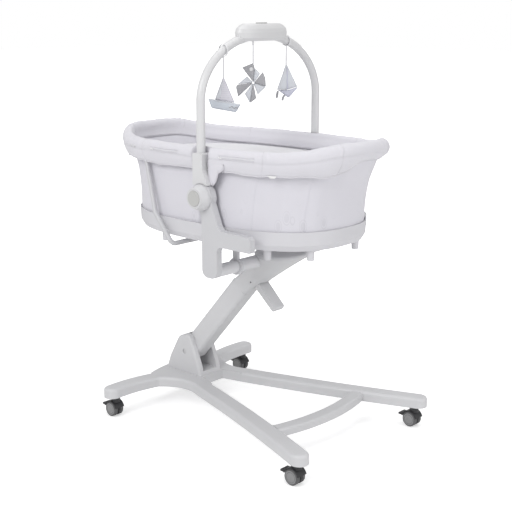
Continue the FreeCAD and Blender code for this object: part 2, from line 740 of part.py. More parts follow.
def yoke_crossbar():
    """The cross tube that turns in the leg's head."""
    tube = doc.addObject("Part::Cut", "yoke_crossbar")
    for role, radius in (("Base", "Dims.yoke_radius"), ("Tool", "Dims.yoke_radius - Dims.yoke_wall")):
        rod = doc.addObject("Part::Cylinder", "yoke_" + role)
        rod.setExpression("Radius", radius)
        rod.setExpression("Height", "2 * Dims.arm_inner")
        rod.Placement = Placement(Vector(0, 0, 0), Rotation(Vector(1, 0, 0), 90))
        rod.setExpression("Placement.Base.x", "Dims.yoke_x")
        rod.setExpression("Placement.Base.y", "Dims.arm_inner")
        rod.setExpression("Placement.Base.z", "Dims.yoke_z")
        setattr(tube, role, rod)
    finish(tube, "yoke_crossbar")


def yoke_arm(side_name, side):
    body = new_body(f"yoke_arm_{side_name}")
    half = size("arm_half_width")
    x, z = size("yoke_x"), size("yoke_z")
    jx, jz, jr = size("joint_x"), size("joint_z"), size("joint_radius")
    tail_x, tail_z = size("arm_tail_x"), size("arm_tail_z")
    foot = z - size("yoke_radius") + 3
    edges = rounded((
        (x - half, foot, 24), (x + half, foot, 24), (x + half, tail_z, 18), (tail_x, tail_z, 4),
        (tail_x, tail_z + size("arm_tail_depth"), 10), (x + half + 10, tail_z + size("arm_tail_depth") + 4, 30),
        (x + half - 12, jz - 40, 30), (jx + jr * 0.8, jz, 0), (jx - jr * 0.8, jz, 0),
        (x - half, jz - 60, 40)))
    offset = "Dims.arm_inner" if side == RIGHT else "-Dims.arm_inner - Dims.arm_thick"
    new_pad(body, new_sketch(body, "XZ_Plane", edges, offset), "Dims.arm_thick")
    new_pad(body, new_sketch(body, "XZ_Plane", circle(jx, jz, jr), offset), "Dims.arm_thick")


def joint_drum(side_name, side):
    """The side joint's tapered drum, with a recess for its button."""
    body = new_body(f"joint_drum_{side_name}")
    start = size("arm_inner") + size("arm_thick")
    end = start + size("drum_length")
    jr = size("joint_radius") - 2
    recess = size("button_radius") + size("face_gap")
    floor = end - size("button_travel") - 5 - size("face_gap")
    centre = Vector(size("joint_x"), 0, size("joint_z"))
    outline = [(0, start), (jr, start), (jr, start + 10), (size("drum_face"), end), (recess, end),
               (recess, floor), (0, floor)]
    points = [Vector(centre.x + r, side * y, 0) for r, y in outline]
    edges = [Part.LineSegment(a, b) for a, b in zip(points, points[1:] + points[:1])]
    sketch = new_sketch(body, "XY_Plane", edges, "Dims.joint_z")
    revolve = body.newObject("PartDesign::Revolution", body.Label + "_turn")
    revolve.Profile = sketch
    revolve.ReferenceAxis = (sketch, [f"Edge{len(edges)}"])
    revolve.Angle = 360
    doc.recompute()


def side_button(side_name, side):
    body = new_body(f"side_button_{side_name}")
    end = size("arm_inner") + size("arm_thick") + size("drum_length")
    high = end + size("button_proud")
    edges = circle(size("joint_x"), size("joint_z"), size("button_radius"))
    near = "Dims.arm_inner + Dims.arm_thick + Dims.drum_length"
    offset = f"{near} - 5" if side == RIGHT else f"-({near} + Dims.button_proud)"
    pad = new_pad(body, new_sketch(body, "XZ_Plane", edges, offset), "5 + Dims.button_proud")
    new_fillet(body, pad, "Dims.button_proud * 0.8", flat_at("Y", side * high))


def arch_socket(side_name, side):
    """A foot that stands on the side joint and holds one end of the toy arch."""
    jx, jz, jr = size("joint_x"), size("joint_z"), size("joint_radius")
    x, half, top = size("arch_x"), size("socket_half_width"), size("socket_top")
    outline = rounded(((x - half, top, 6), (x + half, top, 6), (x + half + 2, top - 50, 20),
                       (x + half + 22, jz + jr - 4, 0), (x - half, jz + jr - 8, 0)))
    face = Part.Face(Part.Wire([e.toShape() for e in outline]))
    face.rotate(Vector(0, 0, 0), Vector(1, 0, 0), 90)
    low = min(side * size("socket_inner"), side * size("socket_outer"))
    face.translate(SIDEWAYS * low)
    foot = face.extrude(SIDEWAYS * (size("socket_outer") - size("socket_inner")))
    joint = Vector(jx, 0, jz)
    foot = foot.cut(bar(joint, joint + SIDEWAYS * side * 2 * size("arm_inner"),
                        jr + size("face_gap") * 0.7))
    bore = Vector(x, side * size("arch_y"), size("arch_foot_z") - size("face_gap"))
    foot = foot.cut(bar(bore, bore + Vector(0, 0, 100), size("arch_radius") + size("run_gap")))
    shaped(f"arch_socket_{side_name}", max(foot.Solids, key=lambda s: s.Volume))


def saddle_post(side_name, side):
    """A post that carries the tray on the cross tube."""
    body = new_body(f"saddle_post_{side_name}")
    half = size("saddle_width") / 2
    x, z = size("yoke_x"), size("yoke_z")
    ring = size("yoke_radius") + 7
    offset = "Dims.saddle_y" if side == RIGHT else "-Dims.saddle_y - Dims.saddle_thick"
    top = size("tray_bottom")
    post = rounded(((x - half, z, 0), (x + half, z, 0), (x + half, top - 14, 0), (x + 2 * half, top - 3, 0),
                    (x + 2 * half, top, 0), (x - 2 * half, top, 0), (x - 2 * half, top - 3, 0),
                    (x - half, top - 14, 0)))
    new_pad(body, new_sketch(body, "XZ_Plane", post, offset), "Dims.saddle_thick")
    new_pad(body, new_sketch(body, "XZ_Plane", circle(x, z, ring), offset), "Dims.saddle_thick")
    hole = circle(x, z, size("yoke_radius") + size("press_gap"))
    new_pocket(body, new_sketch(body, "XZ_Plane", hole), "4 * Dims.saddle_y")


yoke_crossbar()
for name, side in SIDES:
    yoke_arm(name, side)
    joint_drum(name, side)
    side_button(name, side)
    arch_socket(name, side)
    saddle_post(name, side)


# ---------------------------------------------------------------- basket

TRAY_TOP = size("tray_bottom") + size("tray_height")
TRAY_A, TRAY_B = size("tray_length") / 2, size("tray_width") / 2
WALL_A, WALL_B = size("wall_top_length") / 2, size("wall_top_width") / 2
RIM_A, RIM_B = size("rim_length") / 2, size("rim_width") / 2


def tray():
    """A shallow oval dish with a drafted foot."""
    bottom, top = size("tray_bottom"), TRAY_TOP
    draft, wall, lean = size("tray_draft"), size("tray_wall"), size("tray_lean")
    shoulder = bottom + 18
    outer = loft([oval(TRAY_A - draft, TRAY_B - draft, bottom), oval(TRAY_A - lean, TRAY_B - lean, shoulder),
                  oval(TRAY_A, TRAY_B, top)])
    inner = loft([oval(TRAY_A - draft - wall, TRAY_B - draft - wall, bottom + wall),
                  oval(TRAY_A - lean - wall, TRAY_B - lean - wall, shoulder + wall),
                  oval(TRAY_A - wall, TRAY_B - wall, top + 1)])
    shaped("tray", outer.cut(inner))


def wall_sections(inset):
    """Sections of the fabric wall from the tray to the rim, drawn in by an inset."""
    lip = size("tray_wall") + size("tray_lean") + size("face_gap")
    foot, waist, top = size("tray_bottom") + 24, size("wall_waist_z"), size("wall_top")
    return [
        oval(TRAY_A - lip - inset, TRAY_B - lip - inset, foot),
        oval(TRAY_A - lip + 1 - inset, TRAY_B - 12 - inset, waist),
        oval(TRAY_A * 0.4 + WALL_A * 0.6 - 12 - inset, TRAY_B * 0.2 + WALL_B * 0.8 - inset, (waist + top) / 2),
        oval(WALL_A - inset, WALL_B - inset, top),
    ]


def basket_wall():
    thick = size("wall_thick")
    outer = loft(wall_sections(0), False)
    inner = loft(wall_sections(thick), False)
    low = oval(TRAY_A, TRAY_B, size("tray_bottom"))
    cap = oval(WALL_A - thick, WALL_B - thick, size("wall_top") + 5)
    lid = loft([oval(WALL_A - thick, WALL_B - thick, size("wall_top") - 0.01), cap])
    sole = Part.Face(low).extrude(Vector(0, 0, 24.1))
    shaped("basket_wall", outer.cut(inner.fuse(lid)).cut(sole))
    return outer


def ring_tube(radius):
    """The rim's closed tube, or the space it fills."""
    z = size("wall_top") + size("rim_tube_radius") + size("face_gap")
    middle = size("wall_thick") / 2
    path = oval(WALL_A - middle, WALL_B - middle, z)
    edge = path.Edges[0]
    start = edge.valueAt(edge.FirstParameter)
    along = edge.tangentAt(edge.FirstParameter)
    ring = Part.Wire(Part.makeCircle(radius, start, along))
    return path.makePipeShell([ring], True, False)


def rim_pad():
    """The padded roll with its skirt, notched where the arch's feet pass."""
    bottom, top = size("hem_bottom"), size("rim_top")
    roll = size("wall_top")
    hem = size("hem_thick")
    outer = loft([oval(RIM_A - 8, RIM_B + 4, bottom), oval(RIM_A, RIM_B, roll),
                  oval(RIM_A - 3, RIM_B - 4, roll + 18), oval(RIM_A - 13, RIM_B - 14, top)])
    skirt = loft([oval(RIM_A - 8 - hem, RIM_B + 4 - hem, bottom - 1),
                  oval(WALL_A + size("face_gap"), WALL_B + size("face_gap"), roll + 0.2)])
    inner_a, inner_b = RIM_A - size("rim_inset"), RIM_B - size("rim_inset")
    inside = loft([oval(inner_a, inner_b, bottom - 2), oval(inner_a, inner_b, roll + 14),
                   oval(inner_a + 8, inner_b + 8, top + 1)])
    pad = outer.cut(skirt).cut(inside)
    pad = pad.cut(ring_tube(size("rim_tube_radius") + size("face_gap") / 2))
    gap = 3
    for side in (RIGHT, LEFT):
        near = side * (size("socket_inner") - gap / 2)
        far = side * 2 * size("socket_inner")
        notch = block(Vector(size("arch_x") - size("socket_half_width") - gap, min(near, far), bottom - 10),
                      Vector(size("arch_x") + size("socket_half_width") + 2 * gap, max(near, far), top + 10))
        pad = pad.cut(notch)
    solid = max(pad.Solids, key=lambda s: s.Volume)
    shaped("rim_pad", solid)
    return solid


def mattress():
    low, thick = size("mattress_bottom"), size("mattress_thick")
    gap = size("mattress_gap") + size("wall_thick") + size("tray_wall")
    a, b = TRAY_A - gap, TRAY_B - 8 - gap
    cushion = loft([oval(a - 6, b - 6, low), oval(a, b, low + 7), oval(a, b, low + thick - 9),
                    oval(a - 9, b - 9, low + thick)])
    shaped("mattress", cushion)
    board = loft([oval(a, b, low - size("board_thick")), oval(a, b, low)])
    shaped("mattress_board", board)


def board_supports():
    """Two arched panels that carry the mattress board on the tray."""
    low = size("tray_bottom") + size("tray_wall")
    high = size("mattress_bottom") - size("board_thick")
    half = TRAY_B * 0.74
    panels = []
    for way in (-1, 1):
        x = size("basket_x") + way * size("support_spread") - size("support_thick") / 2
        outline = rounded(((-half, low, 0), (-half + 40, low, 0), (-half + 55, high - 45, 30),
                           (half - 55, high - 45, 30), (half - 40, low, 0), (half, low, 0),
                           (half - 6, high, 0), (-half + 6, high, 0)))
        face = Part.Face(Part.Wire([e.toShape() for e in outline]))
        turn = Rotation(Vector(1, 1, 1), 120)
        panel = face.extrude(Vector(0, 0, size("support_thick")))
        panel.Placement = Placement(Vector(x, 0, 0), turn)
        panels.append(panel)
    shaped("board_supports", Part.Compound(panels))


def tray_feet():
    feet = []
    low = size("tray_bottom") - size("foot_height")
    for x, y in ((-0.45, 0.79), (0.62, 0.73), (0.87, 0.42)):
        for side in (RIGHT, LEFT):
            place = Vector(size("basket_x") + x * TRAY_A, side * y * TRAY_B, low)
            feet.append(Part.makeCone(size("foot_radius") * 0.88, size("foot_radius"),
                                      size("foot_height"), place))
    shaped("tray_feet", Part.Compound(feet))


def head_strut(wall_solid, pad_solid):
    """A bent tube from the rim's head end, round under the tray and up again."""
    y, lean = size("strut_y"), size("strut_lean")
    radius = size("strut_radius")
    back, reach = size("basket_x") - size("strut_back"), size("strut_reach")
    low = size("tray_bottom") - radius - size("foot_height") * 0.4
    points = []
    for side in (RIGHT, LEFT):
        run = [Vector(back, side * (y - lean), size("hem_bottom") - 2),
               Vector(back + reach, side * y, TRAY_TOP + radius * 1.5),
               Vector(back + 2 * reach, side * y, low)]
        points += run if side == RIGHT else reversed(run)
    tube = bent_tube(points, 16, radius)
    for side in (RIGHT, LEFT):
        top = Vector(back + 2, side * (y - lean + 1), size("hem_bottom") - radius)
        peg = bar(top, top + Vector(0, -side * radius * 5, 0), radius * 0.7)
        tube = tube.fuse(peg.cut(wall_solid))
    tube = tube.cut(pad_solid)
    shaped("head_strut", max(tube.Solids, key=lambda s: s.Volume))


tray()
wall_solid = basket_wall()
shaped("rim_tube", ring_tube(size("rim_tube_radius")))
pad_solid = rim_pad()
mattress()
board_supports()
tray_feet()
head_strut(wall_solid, pad_solid)


# ---------------------------------------------------------------- toy arch

BOX_BOTTOM = size("arch_crown_z") - size("box_below")
BOX_TOP = BOX_BOTTOM + size("box_base") + size("box_cover")


def arch_path():
    """Two upright legs joined by half an ellipse."""
    x, y = size("arch_x"), size("arch_y")
    spring, crown = size("arch_spring_z"), size("arch_crown_z")
    rise = crown - spring
    centre = Vector(x, 0, spring)
    if rise > y:
        ellipse = Part.Ellipse(centre + Vector(0, 0, rise), centre + Vector(0, y, 0), centre)
    else:
        ellipse = Part.Ellipse(centre + Vector(0, y, 0), centre + Vector(0, 0, rise), centre)
    first, last = Vector(x, y, spring), Vector(x, -y, spring)
    u, v = ellipse.parameter(first), ellipse.parameter(last)
    curve = Part.ArcOfEllipse(ellipse, u, v if v > u else v + 2 * math.pi).toShape()
    foot = size("arch_foot_z")
    legs = [Part.LineSegment(Vector(x, side * y, foot), Vector(x, side * y, spring)).toShape()
            for side in (LEFT, RIGHT)]
    return Part.Wire(Part.sortEdges([legs[0], curve, legs[1]])[0])


def arch_height(y):
    """Height of the arch's centre line over a point off the middle."""
    rise = size("arch_crown_z") - size("arch_spring_z")
    return size("arch_spring_z") + rise * math.sqrt(1 - (y / size("arch_y")) ** 2)


def arch_solid(radius):
    path = arch_path()
    start = path.Edges[0]
    point = start.valueAt(start.FirstParameter)
    ring = Part.Wire(Part.makeCircle(radius, point, start.tangentAt(start.FirstParameter)))
    return path.makePipeShell([ring], True, False)


def music_box():
    """Two shells clipped round the crown of the arch."""
    half_x, half_y = size("box_width") / 2, size("box_length") / 2
    low, split, top = BOX_BOTTOM, BOX_BOTTOM + size("box_base"), BOX_TOP
    tube = arch_solid(size("arch_radius") + size("press_gap"))

    def ring(scale_x, scale_y, z):
        return oval_wire(Vector(size("arch_x"), 0, z), Vector(1, 0, 0), SIDEWAYS,
                         half_x * scale_x, half_y * scale_y, 2.4)

    base = loft([ring(0.8, 0.9, low), ring(0.96, 0.98, low + 9), ring(1, 1, split)])
    cover = loft([ring(1, 1, split), ring(0.96, 0.97, split + 12), ring(0.8, 0.86, top - 5),
                  ring(0.62, 0.74, top)])
    button = oval_button(size("face_gap"), top - 4)
    shaped("music_box_base", max(base.cut(tube).Solids, key=lambda s: s.Volume))
    shaped("music_box_cover", max(cover.cut(tube).cut(button).Solids, key=lambda s: s.Volume))
    shaped("music_button", oval_button(0, top - 4 + 2.3))


def oval_button(gap, floor):
    """The music box's oval button, or its recess when a gap is given."""
    centre = Vector(size("arch_x"), 0, floor)
    across, along = 9 + gap, 24 + gap
    outline = oval_wire(centre, Vector(1, 0, 0), SIDEWAYS, across, along, 2)
    return Part.Face(outline).extrude(Vector(0, 0, 5))


shaped("arch_tube", arch_solid(size("arch_radius")))
music_box()


# ---------------------------------------------------------------- hanging toys

TOY_TURN = Rotation(Vector(0, 0, 1), size("toy_yaw"))


def toy_solid(outline, hang, drop):
    """A flat soft toy: (across, down) corners below its hanging point."""
    edges = rounded([(u, -drop - v, r) for u, v, r in outline])
    face = Part.Face(Part.Wire([e.toShape() for e in edges]))
    solid = face.extrude(Vector(0, 0, size("toy_thick")))
    solid.translate(Vector(0, 0, -size("toy_thick") / 2))
    solid.rotate(Vector(0, 0, 0), Vector(1, 0, 0), 90)
    solid.Placement = Placement(hang, TOY_TURN).multiply(solid.Placement)
    return solid


def ribbon(hang, ring_radius, drop):
    """A loop round the arch with a flat tail that carries the toy."""
    half = size("ribbon_width") / 2
    thick = size("ribbon_thick")
    across = SIDEWAYS * half
    loop = bar(hang - across, hang + across, ring_radius + thick)
    loop = loop.cut(bar(hang - across * 2, hang + across * 2, ring_radius))
    tail = block(Vector(-thick / 2, -half, -drop), Vector(thick / 2, half, -ring_radius - thick / 2))
    tail.translate(hang)
    return loop.fuse(tail)


def toy(label, y, drop, parts):
    hang = Vector(size("arch_x"), y, arch_height(y))
    slope = abs(arch_height(y + 0.5) - arch_height(y - 0.5))
    ring_radius = (size("arch_radius") * math.hypot(1, slope) + slope * size("ribbon_width") / 2
                   + size("face_gap"))
    shaped(f"{label}_ribbon", ribbon(hang, ring_radius, drop))
    solids = [toy_solid(outline, hang, drop + size("face_gap") / 2) for outline in parts]
    shape = solids[0].multiFuse(solids[1:]) if len(solids) > 1 else solids[0]
    shaped(label, shape)


def blade(turn):
    """One folded sail of the pinwheel, as corners about the wheel's centre."""
    c, s = math.cos(turn), math.sin(turn)
    reach = size("wheel_radius")
    corners = ((0, 0, 0), (-0.13, 0.972, 3), (0.752, 1.138, 4), (0.881, 0.349, 4))
    return [((c * u - s * v) * reach, reach - (s * u + c * v) * reach, r) for u, v, r in corners]


SAIL_BOAT = (((-2, 0, 2), (2, 0, 2), (26, 74, 3), (-30, 70, 3)),
             ((-46, 60, 3), (44, 74, 3), (30, 100, 8), (-34, 96, 8)))
KITE_BOAT = (((-2, 0, 2), (3, 0, 2), (24, 72, 3), (-28, 72, 3)),
             ((-32, 68, 3), (32, 68, 3), (20, 90, 6), (-20, 92, 6)),
             ((-12, 88, 1), (-7, 88, 1), (-9, 118, 1), (-14, 118, 1)),
             ((7, 86, 1), (12, 86, 1), (14, 108, 1), (9, 108, 1)))

toy("boat_toy", size("boat_y"), size("boat_drop"), SAIL_BOAT)
toy("kite_toy", size("kite_y"), size("kite_drop"), KITE_BOAT)


def pinwheel():
    hang = Vector(size("arch_x"), size("wheel_y"), BOX_BOTTOM)
    drop = size("wheel_drop")
    half = size("ribbon_width") / 2
    thick = size("ribbon_thick")
    roll = size("ribbon_roll")
    knot = hang - Vector(0, 0, roll + size("face_gap") / 2)
    tail = block(Vector(knot.x - thick / 2, knot.y - half, hang.z - drop),
                 knot + Vector(thick / 2, half, 0))
    end = bar(knot - SIDEWAYS * half, knot + SIDEWAYS * half, roll)
    shaped("pinwheel_toy_ribbon", end.fuse(tail))
    blades = [toy_solid(blade(math.pi / 2 * i), hang, drop + size("face_gap") / 2) for i in range(4)]
    hub = hang - Vector(0, 0, drop + size("wheel_radius"))
    facing = TOY_TURN.multVec(SIDEWAYS) * size("toy_thick") / 2
    boss = bar(hub - facing, hub + facing, 8)
    shaped("pinwheel_toy", boss.multiFuse(blades))


pinwheel()


# ---------------------------------------------------------------- check and write

doc.recompute()
for item in doc.Objects:
    if {"Invalid", "Error"} & set(item.State):
        raise RuntimeError(f"{item.Label}: {item.State}")
for piece in pieces:
    if piece.Shape.isNull() or not piece.Shape.isValid() or not piece.Shape.Solids:
        raise RuntimeError(f"{piece.Label}: bad shape")

os.makedirs("parts", exist_ok=True)
for piece in pieces:
    piece.Shape.exportStep(f"parts/{piece.Label}.step")
print(len(pieces), "sub-parts")
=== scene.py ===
import math
import random

import bmesh
import bpy
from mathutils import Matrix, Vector, noise
from mathutils.geometry import delaunay_2d_cdt


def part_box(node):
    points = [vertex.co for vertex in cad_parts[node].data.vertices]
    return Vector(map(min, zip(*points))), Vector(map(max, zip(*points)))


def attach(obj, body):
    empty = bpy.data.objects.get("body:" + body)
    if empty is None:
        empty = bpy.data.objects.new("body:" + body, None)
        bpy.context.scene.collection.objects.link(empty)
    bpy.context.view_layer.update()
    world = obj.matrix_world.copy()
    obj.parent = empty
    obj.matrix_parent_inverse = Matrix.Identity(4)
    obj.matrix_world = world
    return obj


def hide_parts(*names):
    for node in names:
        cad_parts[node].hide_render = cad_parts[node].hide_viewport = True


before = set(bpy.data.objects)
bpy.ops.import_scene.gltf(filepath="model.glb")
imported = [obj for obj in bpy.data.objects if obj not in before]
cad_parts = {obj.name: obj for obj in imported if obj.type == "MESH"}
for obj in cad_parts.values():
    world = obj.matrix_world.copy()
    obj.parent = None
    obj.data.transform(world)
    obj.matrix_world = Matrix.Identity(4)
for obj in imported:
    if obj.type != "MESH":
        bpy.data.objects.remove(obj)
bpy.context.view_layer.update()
random.seed(7)


# ---------------------------------------------------------------- places read from the CAD parts

def box_of(node):
    low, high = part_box(node)
    return Vector(low), Vector(high)


RIM_LOW, RIM_HIGH = box_of("rim_pad")
TRAY_LOW, TRAY_HIGH = box_of("tray")
BED_LOW, BED_HIGH = box_of("mattress")
ARCH_LOW, ARCH_HIGH = box_of("arch_tube")
SOCKET_LOW, SOCKET_HIGH = box_of("arch_socket_right")
BASKET_X = (TRAY_LOW.x + TRAY_HIGH.x) / 2
POWER = 2.6                 # roundness of the basket's oval: 2 is an ellipse


# ---------------------------------------------------------------- materials

def new_material(name, color, roughness, **shader):
    """A Principled material whose plain numbers sit on the shader's own sockets."""
    mat = bpy.data.materials.new(name)
    mat.use_nodes = True
    tree = mat.node_tree
    bsdf = tree.nodes["Principled BSDF"]
    bsdf.inputs["Base Color"].default_value = (*color, 1)
    bsdf.inputs["Roughness"].default_value = roughness
    for key, value in shader.items():
        bsdf.inputs[key.replace("_", " ")].default_value = value
    mat.diffuse_color = (*color, 1)
    return mat, tree, bsdf


def node(tree, kind, **settings):
    made = tree.nodes.new(kind)
    for key, value in settings.items():
        if hasattr(made, key):
            setattr(made, key, value)
        else:
            made.inputs[key.replace("_", " ")].default_value = value
    return made


def scaled(tree, vector, scale):
    mapping = node(tree, "ShaderNodeMapping")
    mapping.inputs["Scale"].default_value = scale
    tree.links.new(vector, mapping.inputs["Vector"])
    return mapping.outputs["Vector"]


def coordinates(tree, scale=(1, 1, 1)):
    return scaled(tree, node(tree, "ShaderNodeTexCoord").outputs["Object"], scale)


def axis_values(tree, vector):
    split = node(tree, "ShaderNodeSeparateXYZ")
    tree.links.new(vector, split.inputs["Vector"])
    return split.outputs


def map_range(tree, value, **ends):
    """A value mapped between ends, which are the node's own sockets, such as From_Min."""
    made = node(tree, "ShaderNodeMapRange", **ends)
    tree.links.new(value, made.inputs["Value"])
    return made.outputs["Result"]


def cell_distance(tree, vector, scale, randomness):
    cells = node(tree, "ShaderNodeTexVoronoi", Scale=scale, Randomness=randomness)
    tree.links.new(vector, cells.inputs["Vector"])
    return cells.outputs["Distance"]


def noise_value(tree, vector, scale, detail=3.0, roughness=0.5):
    made = node(tree, "ShaderNodeTexNoise", Scale=scale, Detail=detail, Roughness=roughness)
    tree.links.new(vector, made.inputs["Vector"])
    return made.outputs["Fac"]


def ramp(tree, value, low, high, color_low, color_high):
    made = node(tree, "ShaderNodeValToRGB")
    made.color_ramp.elements[0].position = low
    made.color_ramp.elements[1].position = high
    made.color_ramp.elements[0].color = (*color_low, 1)
    made.color_ramp.elements[1].color = (*color_high, 1)
    tree.links.new(value, made.inputs["Fac"])
    return made.outputs["Color"]


def math_node(tree, operation, a, b=None):
    made = node(tree, "ShaderNodeMath", operation=operation)
    for i, value in enumerate((a, b)):
        if value is None:
            continue
        if isinstance(value, (int, float)):
            made.inputs[i].default_value = value
        else:
            tree.links.new(value, made.inputs[i])
    return made.outputs[0]


def mix_colors(tree, factor, a, b):
    made = node(tree, "ShaderNodeMix", data_type="RGBA")
    for socket, value in ((made.inputs[0], factor), (made.inputs[6], a), (made.inputs[7], b)):
        if isinstance(value, (int, float)):
            socket.default_value = value
        elif isinstance(value, tuple):
            socket.default_value = (*value, 1)
        else:
            tree.links.new(value, socket)
    return made.outputs[2]


def add_bump(tree, bsdf, height, strength, distance):
    bump = node(tree, "ShaderNodeBump", Strength=strength, Distance=distance)
    tree.links.new(height, bump.inputs["Height"])
    tree.links.new(bump.outputs["Normal"], bsdf.inputs["Normal"])


def shade(color, factor):
    return tuple(min(1, c * factor) for c in color)


def moulded_plastic(name, color, roughness=0.42, grain=1800, depth=0.00012):
    """Injection moulding: fine spark-eroded grain, slight cloudiness and uneven gloss."""
    mat, tree, bsdf = new_material(name, color, roughness)
    bsdf.inputs["Coat Weight"].default_value = 0.06
    bsdf.inputs["Coat Roughness"].default_value = 0.3
    vector = coordinates(tree)
    cloud = noise_value(tree, vector, 9, 4)
    tree.links.new(ramp(tree, cloud, 0.3, 0.7, shade(color, 0.975), shade(color, 1.015)),
                   bsdf.inputs["Base Color"])
    gloss = map_range(tree, noise_value(tree, vector, 60, 3),
                      To_Min=roughness - 0.06, To_Max=roughness + 0.08)
    tree.links.new(gloss, bsdf.inputs["Roughness"])
    add_bump(tree, bsdf, noise_value(tree, vector, grain, 2), 0.22, depth)
    return mat


def weave_height(tree, vector, pitch):
    """Crossed threads: the product of two fine waves, with a little slub."""
    waves = []
    for turn in ((1, 1, 0), (0, 0, 1)):
        fine = scaled(tree, vector, tuple(t * 2 * math.pi / pitch for t in turn))
        split = axis_values(tree, fine)
        total = math_node(tree, "ADD", split["X"], split["Y"])
        total = math_node(tree, "ADD", total, split["Z"])
        waves.append(math_node(tree, "SINE", total))
    crossed = math_node(tree, "MULTIPLY", waves[0], waves[1])
    slub = noise_value(tree, vector, 700, 3)
    return math_node(tree, "ADD", math_node(tree, "MULTIPLY", crossed, 0.5), slub)


def woven(name, color, pitch=0.0012, print_band=None, melange=0.03, strength=0.35):
    """Woven cover: thread bump, melange, broad shading and sheen, and perhaps a faint print."""
    mat, tree, bsdf = new_material(name, color, 0.86)
    bsdf.inputs["Sheen Weight"].default_value = 0.35
    bsdf.inputs["Sheen Roughness"].default_value = 0.5
    vector = coordinates(tree)
    height = weave_height(tree, vector, pitch)
    broad = ramp(tree, noise_value(tree, vector, 7, 4), 0.3, 0.7,
                 shade(color, 1 - melange * 0.8), shade(color, 1 + melange * 0.6))
    thread = ramp(tree, noise_value(tree, vector, 900, 2), 0.35, 0.65,
                  shade(color, 1 - melange), shade(color, 1 + melange * 0.5))
    base = mix_colors(tree, 0.45, broad, thread)
    if print_band:
        base = leaf_print(tree, vector, base, color, *print_band)
    tree.links.new(base, bsdf.inputs["Base Color"])
    add_bump(tree, bsdf, height, strength, 0.0004)
    return mat


def leaf_print(tree, vector, base, color, low, high):
    """A pale print of small drops and rings that fades out above the lower wall."""
    distance = cell_distance(tree, scaled(tree, vector, (1, 1, 0.55)), 30.0, 0.65)
    drop = math_node(tree, "LESS_THAN", distance, 0.23)
    ring_out = math_node(tree, "LESS_THAN", distance, 0.36)
    ring_in = math_node(tree, "GREATER_THAN", distance, 0.31)
    motif = math_node(tree, "ADD", drop, math_node(tree, "MULTIPLY", ring_out, ring_in))
    fade = map_range(tree, axis_values(tree, vector)["Z"], From_Min=high, From_Max=low)
    patchy = ramp(tree, noise_value(tree, vector, 6, 2), 0.45, 0.6, (0, 0, 0), (1, 1, 1))
    amount = motif
    for factor in (fade, patchy, 0.8):
        amount = math_node(tree, "MULTIPLY", amount, factor)
    return mix_colors(tree, amount, base, shade(color, 0.88))


STRIPE_PITCH = 0.006


def felt(name, color, pattern=None, second=None):
    """Toy felt: fibrous bump, and optionally fine stripes or dots in a second colour."""
    mat, tree, bsdf = new_material(name, color, 0.92)
    bsdf.inputs["Sheen Weight"].default_value = 0.3
    vector = coordinates(tree)
    fibre = noise_value(tree, vector, 420, 5, 0.7)
    base = ramp(tree, fibre, 0.3, 0.7, shade(color, 0.94), shade(color, 1.04))
    if pattern == "stripes":
        height = axis_values(tree, vector)["Z"]
        rise = math_node(tree, "SINE", math_node(tree, "MULTIPLY", height, 2 * math.pi / STRIPE_PITCH))
        base = mix_colors(tree, math_node(tree, "GREATER_THAN", rise, 0.2), base, second)
    if pattern == "dots":
        distance = cell_distance(tree, vector, 150.0, 0.15)
        base = mix_colors(tree, math_node(tree, "LESS_THAN", distance, 0.32), base, second)
    tree.links.new(base, bsdf.inputs["Base Color"])
    add_bump(tree, bsdf, fibre, 0.4, 0.0006)
    return mat


def brushed(name, color, metallic=1.0, roughness=0.3):
    mat, tree, bsdf = new_material(name, color, roughness, Metallic=metallic)
    vector = coordinates(tree, (1, 1, 40))
    streak = noise_value(tree, vector, 80, 3)
    tree.links.new(ramp(tree, streak, 0.3, 0.7, shade(color, 0.93), shade(color, 1.03)),
                   bsdf.inputs["Base Color"])
    add_bump(tree, bsdf, streak, 0.1, 0.0001)
    return mat


def wood_board(name):
    mat, tree, bsdf = new_material(name, (0.6, 0.52, 0.4), 0.6)
    vector = coordinates(tree, (2, 18, 2))
    grain = noise_value(tree, vector, 12, 6)
    tree.links.new(ramp(tree, grain, 0.3, 0.7, (0.50, 0.42, 0.31), (0.66, 0.58, 0.46)),
                   bsdf.inputs["Base Color"])
    add_bump(tree, bsdf, grain, 0.1, 0.0003)
    return mat


def rubber_tyre(name, color):
    mat, tree, bsdf = new_material(name, color, 0.6)
    vector = coordinates(tree)
    dust = noise_value(tree, vector, 90, 5)
    tree.links.new(ramp(tree, dust, 0.4, 0.75, color, shade(color, 1.5)), bsdf.inputs["Base Color"])
    add_bump(tree, bsdf, noise_value(tree, vector, 900, 3), 0.3, 0.0002)
    return mat


